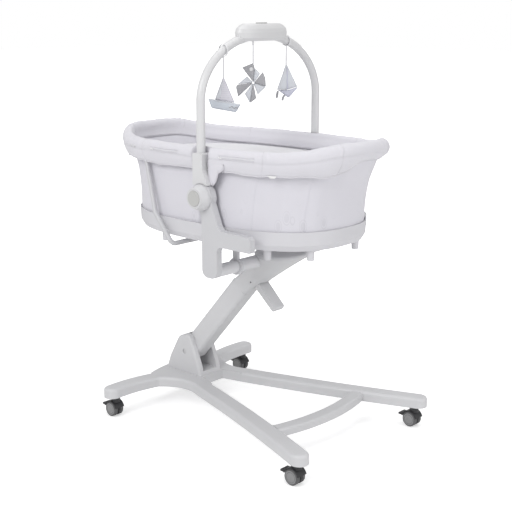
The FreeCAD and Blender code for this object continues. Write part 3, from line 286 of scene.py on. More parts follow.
PRINT_HEIGHT = 0.11
M = {
    "plastic": moulded_plastic("moulded_light_grey", (0.63, 0.63, 0.645)),
    "arch": moulded_plastic("arch_off_white", (0.68, 0.68, 0.69), 0.32),
    "arm": moulded_plastic("yoke_light_grey", (0.58, 0.58, 0.60)),
    "tray": moulded_plastic("tray_light_grey", (0.64, 0.635, 0.665)),
    "button": moulded_plastic("button_mid_grey", (0.50, 0.50, 0.49), 0.5),
    "cover": woven("cover_fabric", (0.70, 0.69, 0.735)),
    "wall": woven("wall_fabric", (0.69, 0.68, 0.73), 0.0014,
                  print_band=(TRAY_HIGH.z, TRAY_HIGH.z + PRINT_HEIGHT)),
    "bed": woven("mattress_cover", (0.735, 0.73, 0.76), 0.0016, melange=0.02),
    "piping": woven("piping_tape", (0.66, 0.65, 0.69), 0.0008),
    "ribbon": woven("ribbon_tape", (0.78, 0.78, 0.80), 0.0008),
    "fork": moulded_plastic("castor_dark", (0.025, 0.025, 0.028), 0.38),
    "tyre": rubber_tyre("castor_tyre", (0.10, 0.10, 0.103)),
    "hubcap": moulded_plastic("castor_face", (0.27, 0.27, 0.275), 0.45),
    "steel": brushed("pin_steel", (0.62, 0.62, 0.63)),
    "tube": moulded_plastic("painted_tube", (0.68, 0.68, 0.70), 0.35, 2400, 0.00006),
    "board": wood_board("mattress_board_wood"),
    "sail": felt("sail_felt", (0.66, 0.65, 0.71), "stripes", (0.69, 0.68, 0.73)),
    "sail_b": felt("sail_felt_lining", (0.68, 0.70, 0.74)),
    "hull": felt("hull_felt", (0.62, 0.66, 0.72)),
    "hull_b": felt("hull_felt_lilac", (0.60, 0.61, 0.71)),
    "blade_a": felt("blade_felt_grey", (0.41, 0.41, 0.43), "dots", (0.44, 0.44, 0.46)),
    "blade_b": felt("blade_felt_pale", (0.68, 0.70, 0.74)),
    "white_tag": woven("white_tag", (0.86, 0.86, 0.86), 0.0008),
}


def dress(names, material):
    """Give CAD nodes a finished material."""
    for name in names:
        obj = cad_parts[name]
        if not obj.material_slots:
            obj.data.materials.append(material)
        for material_slot in obj.material_slots:
            material_slot.link = "OBJECT"
            material_slot.material = material


def both(name):
    return [f"{name}_right", f"{name}_left"]


CORNERS = [f"{end}_{side}" for end in ("rear", "front") for side in ("right", "left")]
dress(["base_hub", "hub_bottom_plate", "cross_brace", "support_leg", "leg_head", "height_lever"]
      + both("rear_leg") + both("front_leg") + both("joint_drum"), M["plastic"])
dress(["head_strut"] + both("yoke_arm") + both("saddle_post"), M["arm"])
dress(["tray", "tray_feet", "board_supports"], M["tray"])
dress(["arch_tube", "music_box_base", "music_box_cover"] + both("arch_socket"), M["arch"])
dress(["fold_button", "music_button"] + both("side_button"), M["button"])
dress(["leg_pivot_pin", "lever_pin"] + ["castor_axle_" + c for c in CORNERS], M["steel"])
dress(["yoke_crossbar", "rim_tube"], M["tube"])
dress(["castor_fork_" + c for c in CORNERS] + ["castor_brake_" + c for c in CORNERS], M["fork"])
dress(["castor_wheels_" + c for c in CORNERS], M["tyre"])
dress(["mattress_board"], M["board"])


# ---------------------------------------------------------------- mesh helpers

def make_object(name, verts, faces, material, smooth=True):
    """A mesh object with its double points merged and its faces turned outwards."""
    mesh = bpy.data.meshes.new(name)
    mesh.from_pydata([tuple(v) for v in verts], [], faces)
    mesh.validate()
    obj = bpy.data.objects.new(name, mesh)
    bpy.context.scene.collection.objects.link(obj)
    mesh.materials.append(material)
    for polygon in mesh.polygons:
        polygon.use_smooth = smooth
    tidy_normals(obj)
    return obj


def settle(obj, body):
    """Attach a piece to the body it moves with."""
    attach(obj, body)


def band(rows, width, closed=False):
    """Quads between rows of points, where each row closes on itself."""
    faces = []
    for i in range(rows if closed else rows - 1):
        j = (i + 1) % rows
        for k in range(width):
            m = (k + 1) % width
            faces.append((i * width + k, j * width + k, j * width + m, i * width + m))
    return faces


def caps(rows, width):
    """The two end faces of such rows."""
    return [tuple(range(width))[::-1], tuple(range((rows - 1) * width, rows * width))]


def tidy_normals(obj):
    made = bmesh.new()
    made.from_mesh(obj.data)
    bmesh.ops.remove_doubles(made, verts=made.verts, dist=1e-6)
    bmesh.ops.recalc_face_normals(made, faces=made.faces)
    made.to_mesh(obj.data)
    made.free()


def superellipse(turn, half_x, half_y, power=POWER):
    c, s = math.cos(turn), math.sin(turn)
    return (math.copysign(abs(c) ** (2 / power), c) * half_x,
            math.copysign(abs(s) ** (2 / power), s) * half_y)


def even_turns(half_x, half_y, count):
    """Parameters that space points evenly along the oval."""
    fine = 4000
    points = [superellipse(2 * math.pi * i / fine, half_x, half_y) for i in range(fine + 1)]
    lengths = [0.0]
    for a, b in zip(points, points[1:]):
        lengths.append(lengths[-1] + math.dist(a, b))
    turns, i = [], 0
    for k in range(count):
        target = lengths[-1] * k / count
        while lengths[i + 1] < target:
            i += 1
        share = (target - lengths[i]) / (lengths[i + 1] - lengths[i])
        turns.append(2 * math.pi * (i + share) / fine)
    return turns


def ring_surface(name, turns, profile, material, place):
    """A closed ring: profile(turn) gives (half_x, half_y, z) round a section; place moves a point."""
    verts = []
    rows = [profile(turn) for turn in turns]
    for turn, row in zip(turns, rows):
        for k, (half_x, half_y, z) in enumerate(row):
            x, y = superellipse(turn, half_x, half_y)
            point = (BASKET_X + x, y, z)
            verts.append(place(point, k))
    return make_object(name, verts, band(len(turns), len(rows[0]), closed=True), material)


def tube_mesh(name, points, radius, material, closed=False, sides=12, flat=1.0, normal=None):
    """A round or flattened strand through points; normal keeps its flat side in step."""
    verts = []
    count = len(points)
    for i, p in enumerate(points):
        p = Vector(p)
        before = Vector(points[i - 1]) if i or closed else p
        after = Vector(points[(i + 1) % count]) if i < count - 1 or closed else p
        along = (after - before).normalized()
        up = normal(i) if normal else Vector((0, 0, 1))
        side = along.cross(up)
        if side.length < 1e-4:
            side = along.cross(Vector((1, 0, 0)))
        side.normalize()
        up = side.cross(along).normalized()
        for k in range(sides):
            turn = 2 * math.pi * k / sides
            verts.append(p + side * radius * math.cos(turn) + up * radius * flat * math.sin(turn))
    faces = band(count, sides, closed) + ([] if closed else caps(count, sides))
    return make_object(name, verts, faces, material)


def wave(turn, *terms):
    """A sum of sines round the basket: (count, size, phase)."""
    return sum(size * math.sin(count * turn + phase) for count, size, phase in terms)


# ---------------------------------------------------------------- flat outlines

def distance_to_outline(u, v, outline):
    best = 1e9
    for (x0, y0), (x1, y1) in zip(outline, outline[1:] + outline[:1]):
        dx, dy = x1 - x0, y1 - y0
        share = max(0.0, min(1.0, ((u - x0) * dx + (v - y0) * dy) / (dx * dx + dy * dy)))
        best = min(best, math.hypot(u - x0 - share * dx, v - y0 - share * dy))
    return best


def inside_outline(u, v, outline):
    inside = False
    for (x0, y0), (x1, y1) in zip(outline, outline[1:] + outline[:1]):
        if (y0 > v) != (y1 > v) and u < (x1 - x0) * (v - y0) / (y1 - y0) + x0:
            inside = not inside
    return inside


def soften(outline, radius, steps=4):
    """Round every corner of an outline."""
    made = []
    count = len(outline)
    for i, corner in enumerate(outline):
        corner = Vector(corner)
        before = Vector(outline[i - 1]) - corner
        after = Vector(outline[(i + 1) % count]) - corner
        cut = min(radius, before.length * 0.45, after.length * 0.45)
        first, last = corner + before.normalized() * cut, corner + after.normalized() * cut
        for k in range(steps + 1):
            t = k / steps
            made.append(tuple(first * (1 - t) ** 2 + corner * 2 * t * (1 - t) + last * t ** 2))
    return made


def resample_2d(outline, step):
    made = []
    for a, b in zip(outline, outline[1:] + outline[:1]):
        count = max(1, round(math.dist(a, b) / step))
        made += [(mix(a[0], b[0], k / count), mix(a[1], b[1], k / count)) for k in range(count)]
    return made


EDGE_CLEAR = 0.6             # inner points keep this share of a step from the outline


def fill_outline(outline, step):
    """Points on and inside an outline, and the triangles between them."""
    points = list(outline)
    us, vs = [p[0] for p in outline], [p[1] for p in outline]
    for r in range(int((max(vs) - min(vs)) / step) + 2):
        for c in range(int((max(us) - min(us)) / step) + 2):
            u, v = min(us) + (c + 0.5 * (r % 2)) * step, min(vs) + r * step
            if inside_outline(u, v, outline) and distance_to_outline(u, v, outline) > step * EDGE_CLEAR:
                points.append((u, v))
    loop = list(range(len(outline)))
    made = delaunay_2d_cdt([Vector(p) for p in points], [], [loop], 1, 1e-6)
    return made[0], made[2]


# ---------------------------------------------------------------- the fabric wall

TRAY_A = (TRAY_HIGH.x - TRAY_LOW.x) / 2
TRAY_B = (TRAY_HIGH.y - TRAY_LOW.y) / 2
RIM_A = (RIM_HIGH.x - RIM_LOW.x) / 2 - 0.004
RIM_B = (RIM_HIGH.y - RIM_LOW.y) / 2 + 0.006
FOOT_Z = box_of("basket_wall")[0].z
THICK = 0.007
SEAM_END, SEAM_SIDE = 0.9420, 0.9180      # seam between roll and skirt, at the ends and the sides
WALL_BACK = 0.0006                        # the cover lies this far inside the wall's table
FEET_ROOM = 0.0045                        # wall cover to the arch's feet
TURNS = even_turns(RIM_A, RIM_B, 480)


def mix(a, b, share):
    return a + (b - a) * share


def smooth(value):
    value = max(0.0, min(1.0, value))
    return value * value * (3 - 2 * value)


def sag(turn):
    """0 at the head and foot ends, 1 along the sides, where the rim dips."""
    return smooth((abs(math.sin(turn)) - 0.22) / 0.66)


def seam_z(turn):
    """Height of the seam between the rim's roll and its skirt."""
    return mix(SEAM_END, SEAM_SIDE, sag(turn))


def wall_top(turn):
    return seam_z(turn) + 0.0030


LIP = 0.0063
WALL_STEPS = ((FOOT_Z, TRAY_A - LIP, TRAY_B - LIP),
              (0.760, TRAY_A - 0.002, 0.2500),
              (0.840, 0.4180, 0.2470),
              (0.893, 0.4440, 0.2460),
              (0.950, 0.4720, 0.2480))


def wall_half(z):
    """Half length and half width of the outer wall at a height."""
    steps = WALL_STEPS
    heights = [step[0] for step in steps]
    z = max(heights[0], min(heights[-1], z))
    k = next(i for i in range(len(steps) - 1) if z <= heights[i + 1])
    share = (z - heights[k]) / (heights[k + 1] - heights[k])
    halves = []
    for column in (1, 2):
        values = [step[column] for step in steps]
        before = values[max(0, k - 1)]
        after = values[min(len(steps) - 1, k + 2)]
        start = (values[k + 1] - before) / (2 if k else 1)
        end = (after - values[k]) / (2 if k + 2 < len(steps) else 1)
        h2, h3 = share ** 2, share ** 3
        halves.append(values[k] * (2 * h3 - 3 * h2 + 1) + values[k + 1] * (3 * h2 - 2 * h3)
                      + start * (h3 - 2 * h2 + share) + end * (h3 - h2))
    return halves


SEAM_TURNS = (0.62, 1.72, 2.62, 3.62, 4.10, 5.20, 5.76)


def near_seam(turn, width=0.035, seams=SEAM_TURNS):
    """1 on a seam, falling to 0 beside it."""
    best = min(abs((turn - s + math.pi) % (2 * math.pi) - math.pi) for s in seams)
    return max(0.0, 1 - best / width)


def wall_ripple(turn, z, hand):
    """Outward offset of the cover: soft folds, held flat at the tray and at the rim."""
    up = (z - FOOT_Z) / (wall_top(turn) - FOOT_Z)
    held = smooth(up / 0.25) * (1 - 0.5 * smooth((up - 0.75) / 0.25))
    folds = wave(turn, (9, 0.0010, 0.4), (17, 0.0008, 1.9 + 1.4 * up), (31, 0.0004, 0.7 - up))
    place = Vector((math.cos(turn) * 3 + z * 4, math.sin(turn) * 3, z * 9 + hand * 5))
    crease = noise.noise(place) * (0.0022 if hand == 0 else 0.0050)
    return held * (folds + crease) - 0.0005 * near_seam(turn)


ARCH_X = (ARCH_LOW.x + ARCH_HIGH.x) / 2
FOOT_FACE = min(abs(SOCKET_LOW.y), abs(SOCKET_HIGH.y))
NOTCH_HALF = 0.027


def notch_share(x):
    """1 where an arch foot passes outside the cover, falling smoothly to 0 beside it."""
    return 1 - smooth((abs(x - ARCH_X) - NOTCH_HALF) / 0.016)


def hold_inside(point, room):
    """Keep a point of the cover clear of the arch's feet by a margin."""
    x, y, z = point
    share = notch_share(x)
    limit = mix(0.30, FOOT_FACE - room, share)
    if share > 0 and abs(y) > limit:
        y = math.copysign(limit, y)
    return (x, y, z)


def outer_push(turn, z):
    return wall_ripple(turn, z, 0) - WALL_BACK


def inner_push(turn, z):
    return -THICK - abs(wall_ripple(turn, z, 1)) * 0.6


def build_wall():
    rows = 46

    def profile(turn):
        section = []
        heights = [mix(FOOT_Z, wall_top(turn), k / rows) for k in range(rows + 1)]
        for push, run in ((outer_push, heights), (inner_push, heights[::-1])):
            for z in run:
                a, b = wall_half(z)
                out = push(turn, z)
                section.append((a + out, b + out, z))
        return section

    def place(point, k):
        return hold_inside(point, FEET_ROOM if k <= rows else FEET_ROOM + THICK)

    made = ring_surface("wall_cover", TURNS, profile, M["wall"], place)
    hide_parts("basket_wall")
    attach(made, "carrier")


build_wall()


def wall_point(turn, z, hand, out):
    """A point on the wall's outer or inner face, lifted by a distance."""
    a, b = wall_half(z)
    push = outer_push(turn, z) + out if hand > 0 else inner_push(turn, z) - out
    x, y = superellipse(turn, a + push, b + push)
    room = FEET_ROOM if hand > 0 else FEET_ROOM + THICK
    return Vector(hold_inside((BASKET_X + x, y, z), room))


def wall_seams():
    """Raised seam beads, up the outside and the inside of the wall."""
    for i, turn in enumerate(SEAM_TURNS):
        for hand, first in ((1, TRAY_HIGH.z + 0.002), (-1, BED_HIGH.z + 0.006)):
            last = wall_top(turn) - 0.004
            points = [wall_point(turn, mix(first, last, k / 14), hand, 0.0002) for k in range(15)]
            place = "outer" if hand > 0 else "inner"
            seam = tube_mesh(f"wall_seam_{place}_{i + 1}", points, 0.0006, M["wall"], sides=8)
            settle(seam, "carrier")


wall_seams()


# ---------------------------------------------------------------- the padded rim

RIM_PANELS = (0.30, 1.05, 1.95, 2.75, 3.53, 4.33, 5.23, 5.98)
SKIRT_ROWS = 8
# the roll from its outer seam to its inner one: out from the rim's oval, share of its height
ROLL = ((-0.0010, 0.030), (-0.0002, 0.12), (0.0000, 0.26), (-0.0008, 0.43), (-0.0030, 0.60),
        (-0.0064, 0.76), (-0.0108, 0.89), (-0.0158, 0.97), (-0.0210, 1.00), (-0.0260, 0.97),
        (-0.0300, 0.88), (-0.0325, 0.74), (-0.0338, 0.56), (-0.0345, 0.38))
# the inner slope: drop below the seam, distance inside the wall, share of the way to the wall
FACING = ((-0.004, 0.0050, 0.22), (0.006, 0.0046, 0.50), (0.018, 0.0040, 0.82), (0.0250, 0.0022, 1.0))
ROLL_END, ROLL_SIDE = 0.0345, 0.0315      # height of the roll
HEM_END, HEM_SIDE = 0.9150, 0.8800        # height of the skirt's edge
SKIRT_BACK, TUCK_A, TUCK_B, TUCK_POWER = 0.0022, 0.0240, 0.0100, 1.7
LINING_DROP, LINING_TOP = 0.024, 0.0034   # where the cover closes over the wall's edge
SKIRT_THICK = 0.0036


def rim_pucker(turn):
    """Small gathers that crowd beside the panel seams."""
    beside = near_seam(turn, 0.16, RIM_PANELS)
    return wave(turn, (23, 0.0007, 0.3), (61, 0.0004, 1.1)) + beside * wave(turn, (97, 0.0009, 0.2))


def hem_z(turn):
    """The skirt's lower edge: high at the ends, low and slightly wavy along the sides."""
    across = math.sin(turn)
    foot_start = mix(-0.10, 0.40, smooth((across + 0.2) / 0.5))
    start = mix(0.14, foot_start, smooth(math.cos(turn) / 0.5))
    low = smooth((abs(across) - start) / 0.55)
    waves = wave(turn, (8, 0.0018, 0.8), (19, 0.0012, 1.2), (43, 0.0007, 0.4))
    return mix(HEM_END, HEM_SIDE, low) + waves


def rim_profile(turn):
    side = sag(turn)
    hem, seam = hem_z(turn), seam_z(turn)
    tall = mix(ROLL_END, ROLL_SIDE, side)
    ripple = rim_pucker(turn)
    billow = wave(turn, (8, 0.0010, 0.5), (13, 0.0008, 2.0))
    section = []
    for k in range(SKIRT_ROWS):
        up = k / (SKIRT_ROWS - 1)
        z = mix(hem, seam, up)
        tuck = (1 - up) ** TUCK_POWER
        a = RIM_A - SKIRT_BACK - TUCK_A * tuck
        b = RIM_B - SKIRT_BACK - TUCK_B * tuck
        push = billow * (1 - up) + 0.0010 * math.sin(math.pi * up)
        section.append((a + push, b + push, z))
    for dn, share in ROLL:
        lift = ripple * (1.0 if share > 0.2 else 0.4)
        out = dn + lift * 0.6
        section.append((RIM_A + out, RIM_B + out, seam + share * tall + lift * 0.7))
    from_a, from_b = RIM_A + ROLL[-1][0], RIM_B + ROLL[-1][0]
    for drop, inside, share in FACING:
        a, b = (half - THICK - inside for half in wall_half(seam - drop))
        section.append((min(a, mix(from_a, a, share)), min(b, mix(from_b, b, share)), seam - drop))
    for out, z in ((0.0012 - THICK, seam - LINING_DROP), (0.001 - THICK, seam + LINING_TOP),
                   (0.0006, seam + LINING_TOP)):
        a, b = wall_half(z)
        section.append((a + out, b + out, z))
    for k in range(3):
        z = mix(hem, seam, 1 - k / 3)
        a, b = wall_half(z)
        section.append((a + 0.0040, b + 0.0040, z))
    a, b, z = section[0]
    section.append((a - SKIRT_THICK, b - SKIRT_THICK, hem + 0.0004))
    return section


INNER_FROM = SKIRT_ROWS + len(ROLL)


def draw_in(point, k):
    return hold_inside(point, 0.0042 if k >= INNER_FROM else 0.0012)


RIM_TURNS = even_turns(RIM_A, RIM_B, 900)
rim = ring_surface("rim_cover", RIM_TURNS, rim_profile, M["cover"], draw_in)
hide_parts("rim_pad", "rim_tube")
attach(rim, "carrier")


def rim_point(turn, index, out=0.0):
    """A point on the rim's surface, by its place in the section."""
    half_x, half_y, z = rim_profile(turn)[index]
    x, y = superellipse(turn, half_x + out, half_y + out)
    return Vector(draw_in((BASKET_X + x, y, z), index))


def rim_line(name, index, radius, material, out, turns=None, flat=1.0):
    closed = turns is None
    points = [rim_point(turn, index, out) for turn in (RIM_TURNS[::2] if closed else turns)]
    line = tube_mesh(name, points, radius, material, closed=closed, sides=8, flat=flat)
    settle(line, "carrier")


def turn_at(x, side):
    """The turn where the rim passes a given x on one side."""
    share = max(-1.0, min(1.0, (x - BASKET_X) / RIM_A))
    c = math.copysign(abs(share) ** (POWER / 2), share)
    return math.acos(c) if side > 0 else 2 * math.pi - math.acos(c)


rim_line("hem_binding", 0, 0.0013, M["piping"], out=0.0002, flat=1.6)
rim_line("lining_seam", INNER_FROM + 2, 0.0009, M["piping"], out=-0.0003)


def panel_seams():
    """Cross seams over the roll and down the skirt."""
    for i, turn in enumerate(RIM_PANELS):
        if abs(BASKET_X + superellipse(turn, RIM_A, RIM_B)[0] - ARCH_X) < 0.07:
            continue
        points = [rim_point(turn, k, 0.0001) for k in range(0, INNER_FROM + 1)]
        seam = tube_mesh(f"rim_seam_{i + 1}", points, 0.0009, M["piping"], sides=8)
        settle(seam, "carrier")


panel_seams()


def zip_line(name, side, x_from, x_to):
    """A covered zip along the skirt, with its pull tab at one end."""
    turns = [turn_at(mix(x_from, x_to, k / 24), side) for k in range(25)]
    welts = (("welt_upper", SKIRT_ROWS + 3, 0.0014), ("welt_lower", SKIRT_ROWS + 1, 0.0012))
    for part, index, radius in welts:
        rim_line(f"{name}_{part}", index, radius, M["piping"], out=0.0005, turns=turns)
    rim_line(f"{name}_coil", SKIRT_ROWS + 2, 0.0016, M["ribbon"], 0.0001, turns, flat=0.6)
    start = rim_point(turns[0], SKIRT_ROWS + 2, 0.0022)
    pull = [start + Vector((0.002 + 0.0030 * k, 0, -0.0010 * k)) for k in range(5)]
    tab = tube_mesh(f"{name}_pull", pull, 0.0022, M["white_tag"], sides=8, flat=0.5)
    settle(tab, "carrier")


SIDES = (("right", -1), ("left", 1))
for word, side in SIDES:
    zip_line(f"zip_front_{word}", side, 0.118, 0.245)
    zip_line(f"zip_head_{word}", side, -0.185, -0.055)


PATCH_STEP = 0.006


def patch(name, side, corners, out, thick, material):
    """A flat fabric patch on the cover: (x, z) corners on one side of the basket."""
    outline = resample_2d(corners, PATCH_STEP)
    flat, triangles = fill_outline(outline, PATCH_STEP)
    verts, faces = [], []
    for layer in (0, 1):
        for p in flat:
            edge = min(1.0, distance_to_outline(p.x, p.y, outline) / PATCH_STEP)
            lift = out(p.x, p.y) + (thick * (0.35 + 0.65 * math.sqrt(edge)) if layer else 0)
            verts.append((p.x, side * lift, p.y))
    count = len(flat)
    for triangle in triangles:
        faces.append(tuple(i + count for i in triangle))
        faces.append(tuple(reversed(triangle)))
    ring = len(outline)
    for i in range(ring):
        j = (i + 1) % ring
        faces.append((i, j, j + count, i + count))
    settle(make_object(name, verts, faces, material), "carrier")


# ---------------------------------------------------------------- mattress

BED_IN = 0.0006                           # cover to the CAD mattress's box
BED_A = (BED_HIGH.x - BED_LOW.x) / 2 - BED_IN
BED_B = (BED_HIGH.y - BED_LOW.y) / 2 - BED_IN
BED_X = (BED_HIGH.x + BED_LOW.x) / 2
BED_OVER = 0.0090                         # how far the crowned top may stand over that box
# the side from below: height, how far in
BED_SIDE = ((0.0, 0.0065), (0.0022, 0.003), (0.0095, 0.0), (0.0245, 0.0008), (0.0385, 0.0),
            (0.0455, 0.0028))


def build_mattress():
    around, across = 200, 26
    low, high = BED_LOW.z + BED_IN, BED_HIGH.z + BED_OVER
    turns = even_turns(BED_A, BED_B, around)
    verts = []
    for up, inset in BED_SIDE:
        for turn in turns:
            pucker = wave(turn, (37, 0.0005, 0.3), (71, 0.0003, 1.0)) if 0 < up < 0.040 else 0.0
            inward = inset + 0.0005 - pucker
            x, y = superellipse(turn, BED_A - inward, BED_B - inward)
            verts.append((BED_X + x, y, low + up))
    for ring in range(across):
        share = 1 - (ring + 1) / (across + 1)
        for turn in turns:
            x, y = superellipse(turn, (BED_A - 0.008) * share, (BED_B - 0.008) * share)
            crown = 0.0050 * (1 - share ** 4)
            fold = -0.0040 * math.exp(-((x - 0.02 - 0.10 * y) / 0.011) ** 2)
            fold *= smooth((y + 0.02) / 0.10)
            soft = 0.0014 * noise.noise(Vector((x * 9, y * 9, 3.1)))
            soft += 0.0008 * noise.noise(Vector((x * 31, y * 31, 1)))
            z = min(high, low + BED_SIDE[-1][0] + crown + fold + soft)
            verts.append((BED_X + x, y, z))
    rows = len(BED_SIDE) + across
    bed = make_object("mattress_cover", verts, band(rows, around) + caps(rows, around), M["bed"])
    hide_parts("mattress")
    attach(bed, "carrier")
    for name, up in (("upper", 0.0445), ("lower", 0.0035)):
        points = []
        for turn in turns:
            x, y = superellipse(turn, BED_A - 0.0022, BED_B - 0.0022)
            points.append((BED_X + x, y, low + up))
        piping = tube_mesh(f"mattress_piping_{name}", points, 0.0016, M["piping"], closed=True,
                           sides=8)
        settle(piping, "carrier")


build_mattress()


# ---------------------------------------------------------------- hanging toys

YAW = math.radians(42.6)     # the toys face the camera
ACROSS = Vector((math.cos(YAW), math.sin(YAW), 0))
TOWARDS = Vector((math.sin(YAW), -math.cos(YAW), 0))
SIDEWAYS = Vector((0, 1, 0))


def pillow(name, outline, hang, thick, material, step=0.0035, rounding=0.004, away=0.0):
    """A stuffed flat toy: (across, down) outline below its hanging point, swollen between seams."""
    edge = resample_2d(soften(outline, rounding), step)
    flat, triangles = fill_outline(edge, step)
    depths = [distance_to_outline(p.x, p.y, edge) for p in flat]
    full = min(max(depths), thick * 1.6)
    verts, faces, front, back = [], [], [], []
    for p, depth in zip(flat, depths):
        share = min(1.0, depth / full)
        swell = thick / 2 * math.sqrt(max(0.0, 1 - (1 - share) ** 2))
        swell *= 0.9 + 0.1 * noise.noise(Vector((p.x * 60, p.y * 60, 0.5)))
        base = hang + ACROSS * p.x - Vector((0, 0, p.y)) + TOWARDS * away
        front.append(len(verts))
        verts += [base] if depth < 1e-5 else [base + TOWARDS * swell, base - TOWARDS * swell]
        back.append(len(verts) - 1)
    for triangle in triangles:
        faces.append(tuple(front[i] for i in triangle))
        faces.append(tuple(back[i] for i in reversed(triangle)))
    return make_object(name, verts, faces, material)


TAPE_WIDTH = 0.0056


def ribbon_strip(name, points, across, thick):
    """A tape through points, flat side out, with a real thickness."""
    verts = []
    for i, p in enumerate(points):
        before = Vector(points[max(0, i - 1)])
        after = Vector(points[min(len(points) - 1, i + 1)])
        along = (after - before).normalized()
        out = along.cross(across[i]).normalized()
        for s, t in ((-1, -1), (1, -1), (1, 1), (-1, 1)):
            verts.append(p + across[i] * s * TAPE_WIDTH / 2 + out * t * thick / 2)
    faces = band(len(points), 4) + caps(len(points), 4)
    return make_object(name, verts, faces, M["ribbon"], smooth=False)


def twisting(start, end, steps):
    """A tape's points on its way down, and its direction across, which turns to face the toy."""
    points, across = [], []
    for k in range(steps + 1):
        turn = smooth(k / steps) * (math.pi / 2 - YAW)
        points.append(start.lerp(end, k / steps))
        across.append((SIDEWAYS * math.cos(turn) + Vector((1, 0, 0)) * math.sin(turn)).normalized())
    return points, across


TUBE_R = (ARCH_HIGH.x - ARCH_LOW.x) / 2


def loop_ribbon(toy, drop, hang, out):
    """A tape looped round the arch, stitched to itself below the tube and turned to face the toy."""
    radius = TUBE_R * out + 0.0012
    points = []
    for k in range(25):
        turn = -math.pi / 2 + math.pi * 2 * k / 24
        points.append(hang + Vector((math.cos(turn) * radius, 0, math.sin(turn) * radius)))
    loop = ribbon_strip(f"{toy}_loop", points, [SIDEWAYS] * len(points), 0.0009)
    start = hang - Vector((0, 0, radius - 0.0004))
    end = hang - Vector((0, 0, drop + 0.003))
    tail = ribbon_strip(f"{toy}_tail", *twisting(start, end, 16), 0.0011)
    thread = [start - Vector((0, 0.0024, 0.004)) + SIDEWAYS * 0.0048 * k / 4 for k in range(5)]
    stitch = tube_mesh(f"{toy}_stitch", thread, 0.0009, M["piping"], sides=6)
    return [loop, tail, stitch]


def finish_toy(pieces, toy, body, stuffed):
    """Attach a toy's pieces to its body and hide the CAD toy and its ribbon: the last three are its
    ribbon, the first ones stuffed.
    """
    for i, obj in enumerate(pieces):
        settle(obj, body)
    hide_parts(toy)
    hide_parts(f"{toy}_ribbon")
    for obj in pieces[:stuffed]:
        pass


def below(drop, *corners):
    """An outline in millimetres, moved down to the ribbon's end, in metres."""
    return [(u / 1000, v / 1000 + drop) for u, v in corners]


CROWN_Z = ARCH_HIGH.z - TUBE_R
SPRING_Z, REACH = 1.081, 0.268            # where the arch's round part starts, and its half width
BOAT_Y, KITE_Y, WHEEL_Y = -0.170, 0.118, -0.038


def tube_centre(y):
    """The arch's centre line over a point off the middle."""
    return Vector((ARCH_X, y, SPRING_Z + (CROWN_Z - SPRING_Z) * math.sqrt(1 - (y / REACH) ** 2)))


def steepness(y):
    slope = abs(tube_centre(y + 0.0005).z - tube_centre(y - 0.0005).z) / 0.001
    return math.hypot(1, slope) + slope * 0.003 / TUBE_R


def boat():
    hang, drop = tube_centre(BOAT_Y), 0.080
    sail = pillow("boat_toy_sail", below(drop, (-2, 0), (2, 0), (34, 76), (-27, 66)), hang, 0.0095,
                  M["sail"])
    fold = pillow("boat_toy_fold", below(drop, (-1, 3), (-5, 16), (-25, 63), (-8, 60)), hang, 0.0040,
                  M["sail_b"], step=0.0025, away=0.0035)
    hull = pillow("boat_toy_hull", below(drop, (-48, 62), (53, 80), (37, 105), (-37, 92)), hang,
                  0.0115, M["hull"], rounding=0.003)
    welt = pillow("boat_toy_band", below(drop, (-46, 63), (51, 80.5), (48, 86), (-44, 69)), hang,
                  0.0118, M["sail_b"], rounding=0.001, step=0.002)
    waves = []
    for row, material in enumerate(("blade_b", "blade_a", "blade_b")):
        points = []
        for k in range(17):
            u, v = 0.016 + 0.0017 * k, drop + 0.083 + 0.0045 * row + 0.0003 * k
            down = v + 0.0022 * math.sin(k * 0.8 + row * 0.5)
            points.append(hang + ACROSS * u - Vector((0, 0, down)) + TOWARDS * 0.0052)
        waves.append(tube_mesh(f"boat_toy_wave_{row + 1}", points, 0.0012, M[material], sides=8))
    tape = loop_ribbon("boat_toy", drop, hang, steepness(BOAT_Y))
    finish_toy([hull, sail, fold, welt] + waves + tape, "boat_toy", "boat", 4)


def kite():
    hang, drop = tube_centre(KITE_Y), 0.076
    sail = pillow("kite_toy_sail", below(drop, (-2, 0), (3, 0), (37, 70), (4, 80), (-29, 79)), hang,
                  0.0090, M["sail_b"])
    mast = pillow("kite_toy_mast", below(drop, (1, 6), (6, 16), (7, 77), (2, 79)), hang, 0.0030,
                  M["hull_b"], step=0.0018, rounding=0.001, away=0.0040)
    welt = pillow("kite_toy_band", below(drop, (-29, 76), (4, 79), (4, 82), (-29, 81)), hang, 0.0100,
                  M["ribbon"], step=0.0018, rounding=0.001)
    hull = pillow("kite_toy_hull",
                  below(drop, (-26, 81), (5, 81), (38, 71), (36, 76), (11, 104), (4, 104)), hang,
                  0.0105, M["hull_b"], rounding=0.003)
    streamers = []
    for corners in (((-30, 84), (-23, 82), (-24, 98), (-26, 107), (-33, 107), (-33, 96)),
                    ((-6, 94), (2, 94), (-5, 104), (-8, 115), (-15, 115), (-13, 103))):
        streamers.append(pillow(f"kite_toy_streamer_{len(streamers) + 1}", below(drop, *corners), hang,
                                0.0040, M["blade_a"], step=0.0018, rounding=0.003))
    tape = loop_ribbon("kite_toy", drop, hang, steepness(KITE_Y))
    finish_toy([hull, sail, mast, welt] + streamers + tape, "kite_toy", "kite", 6)


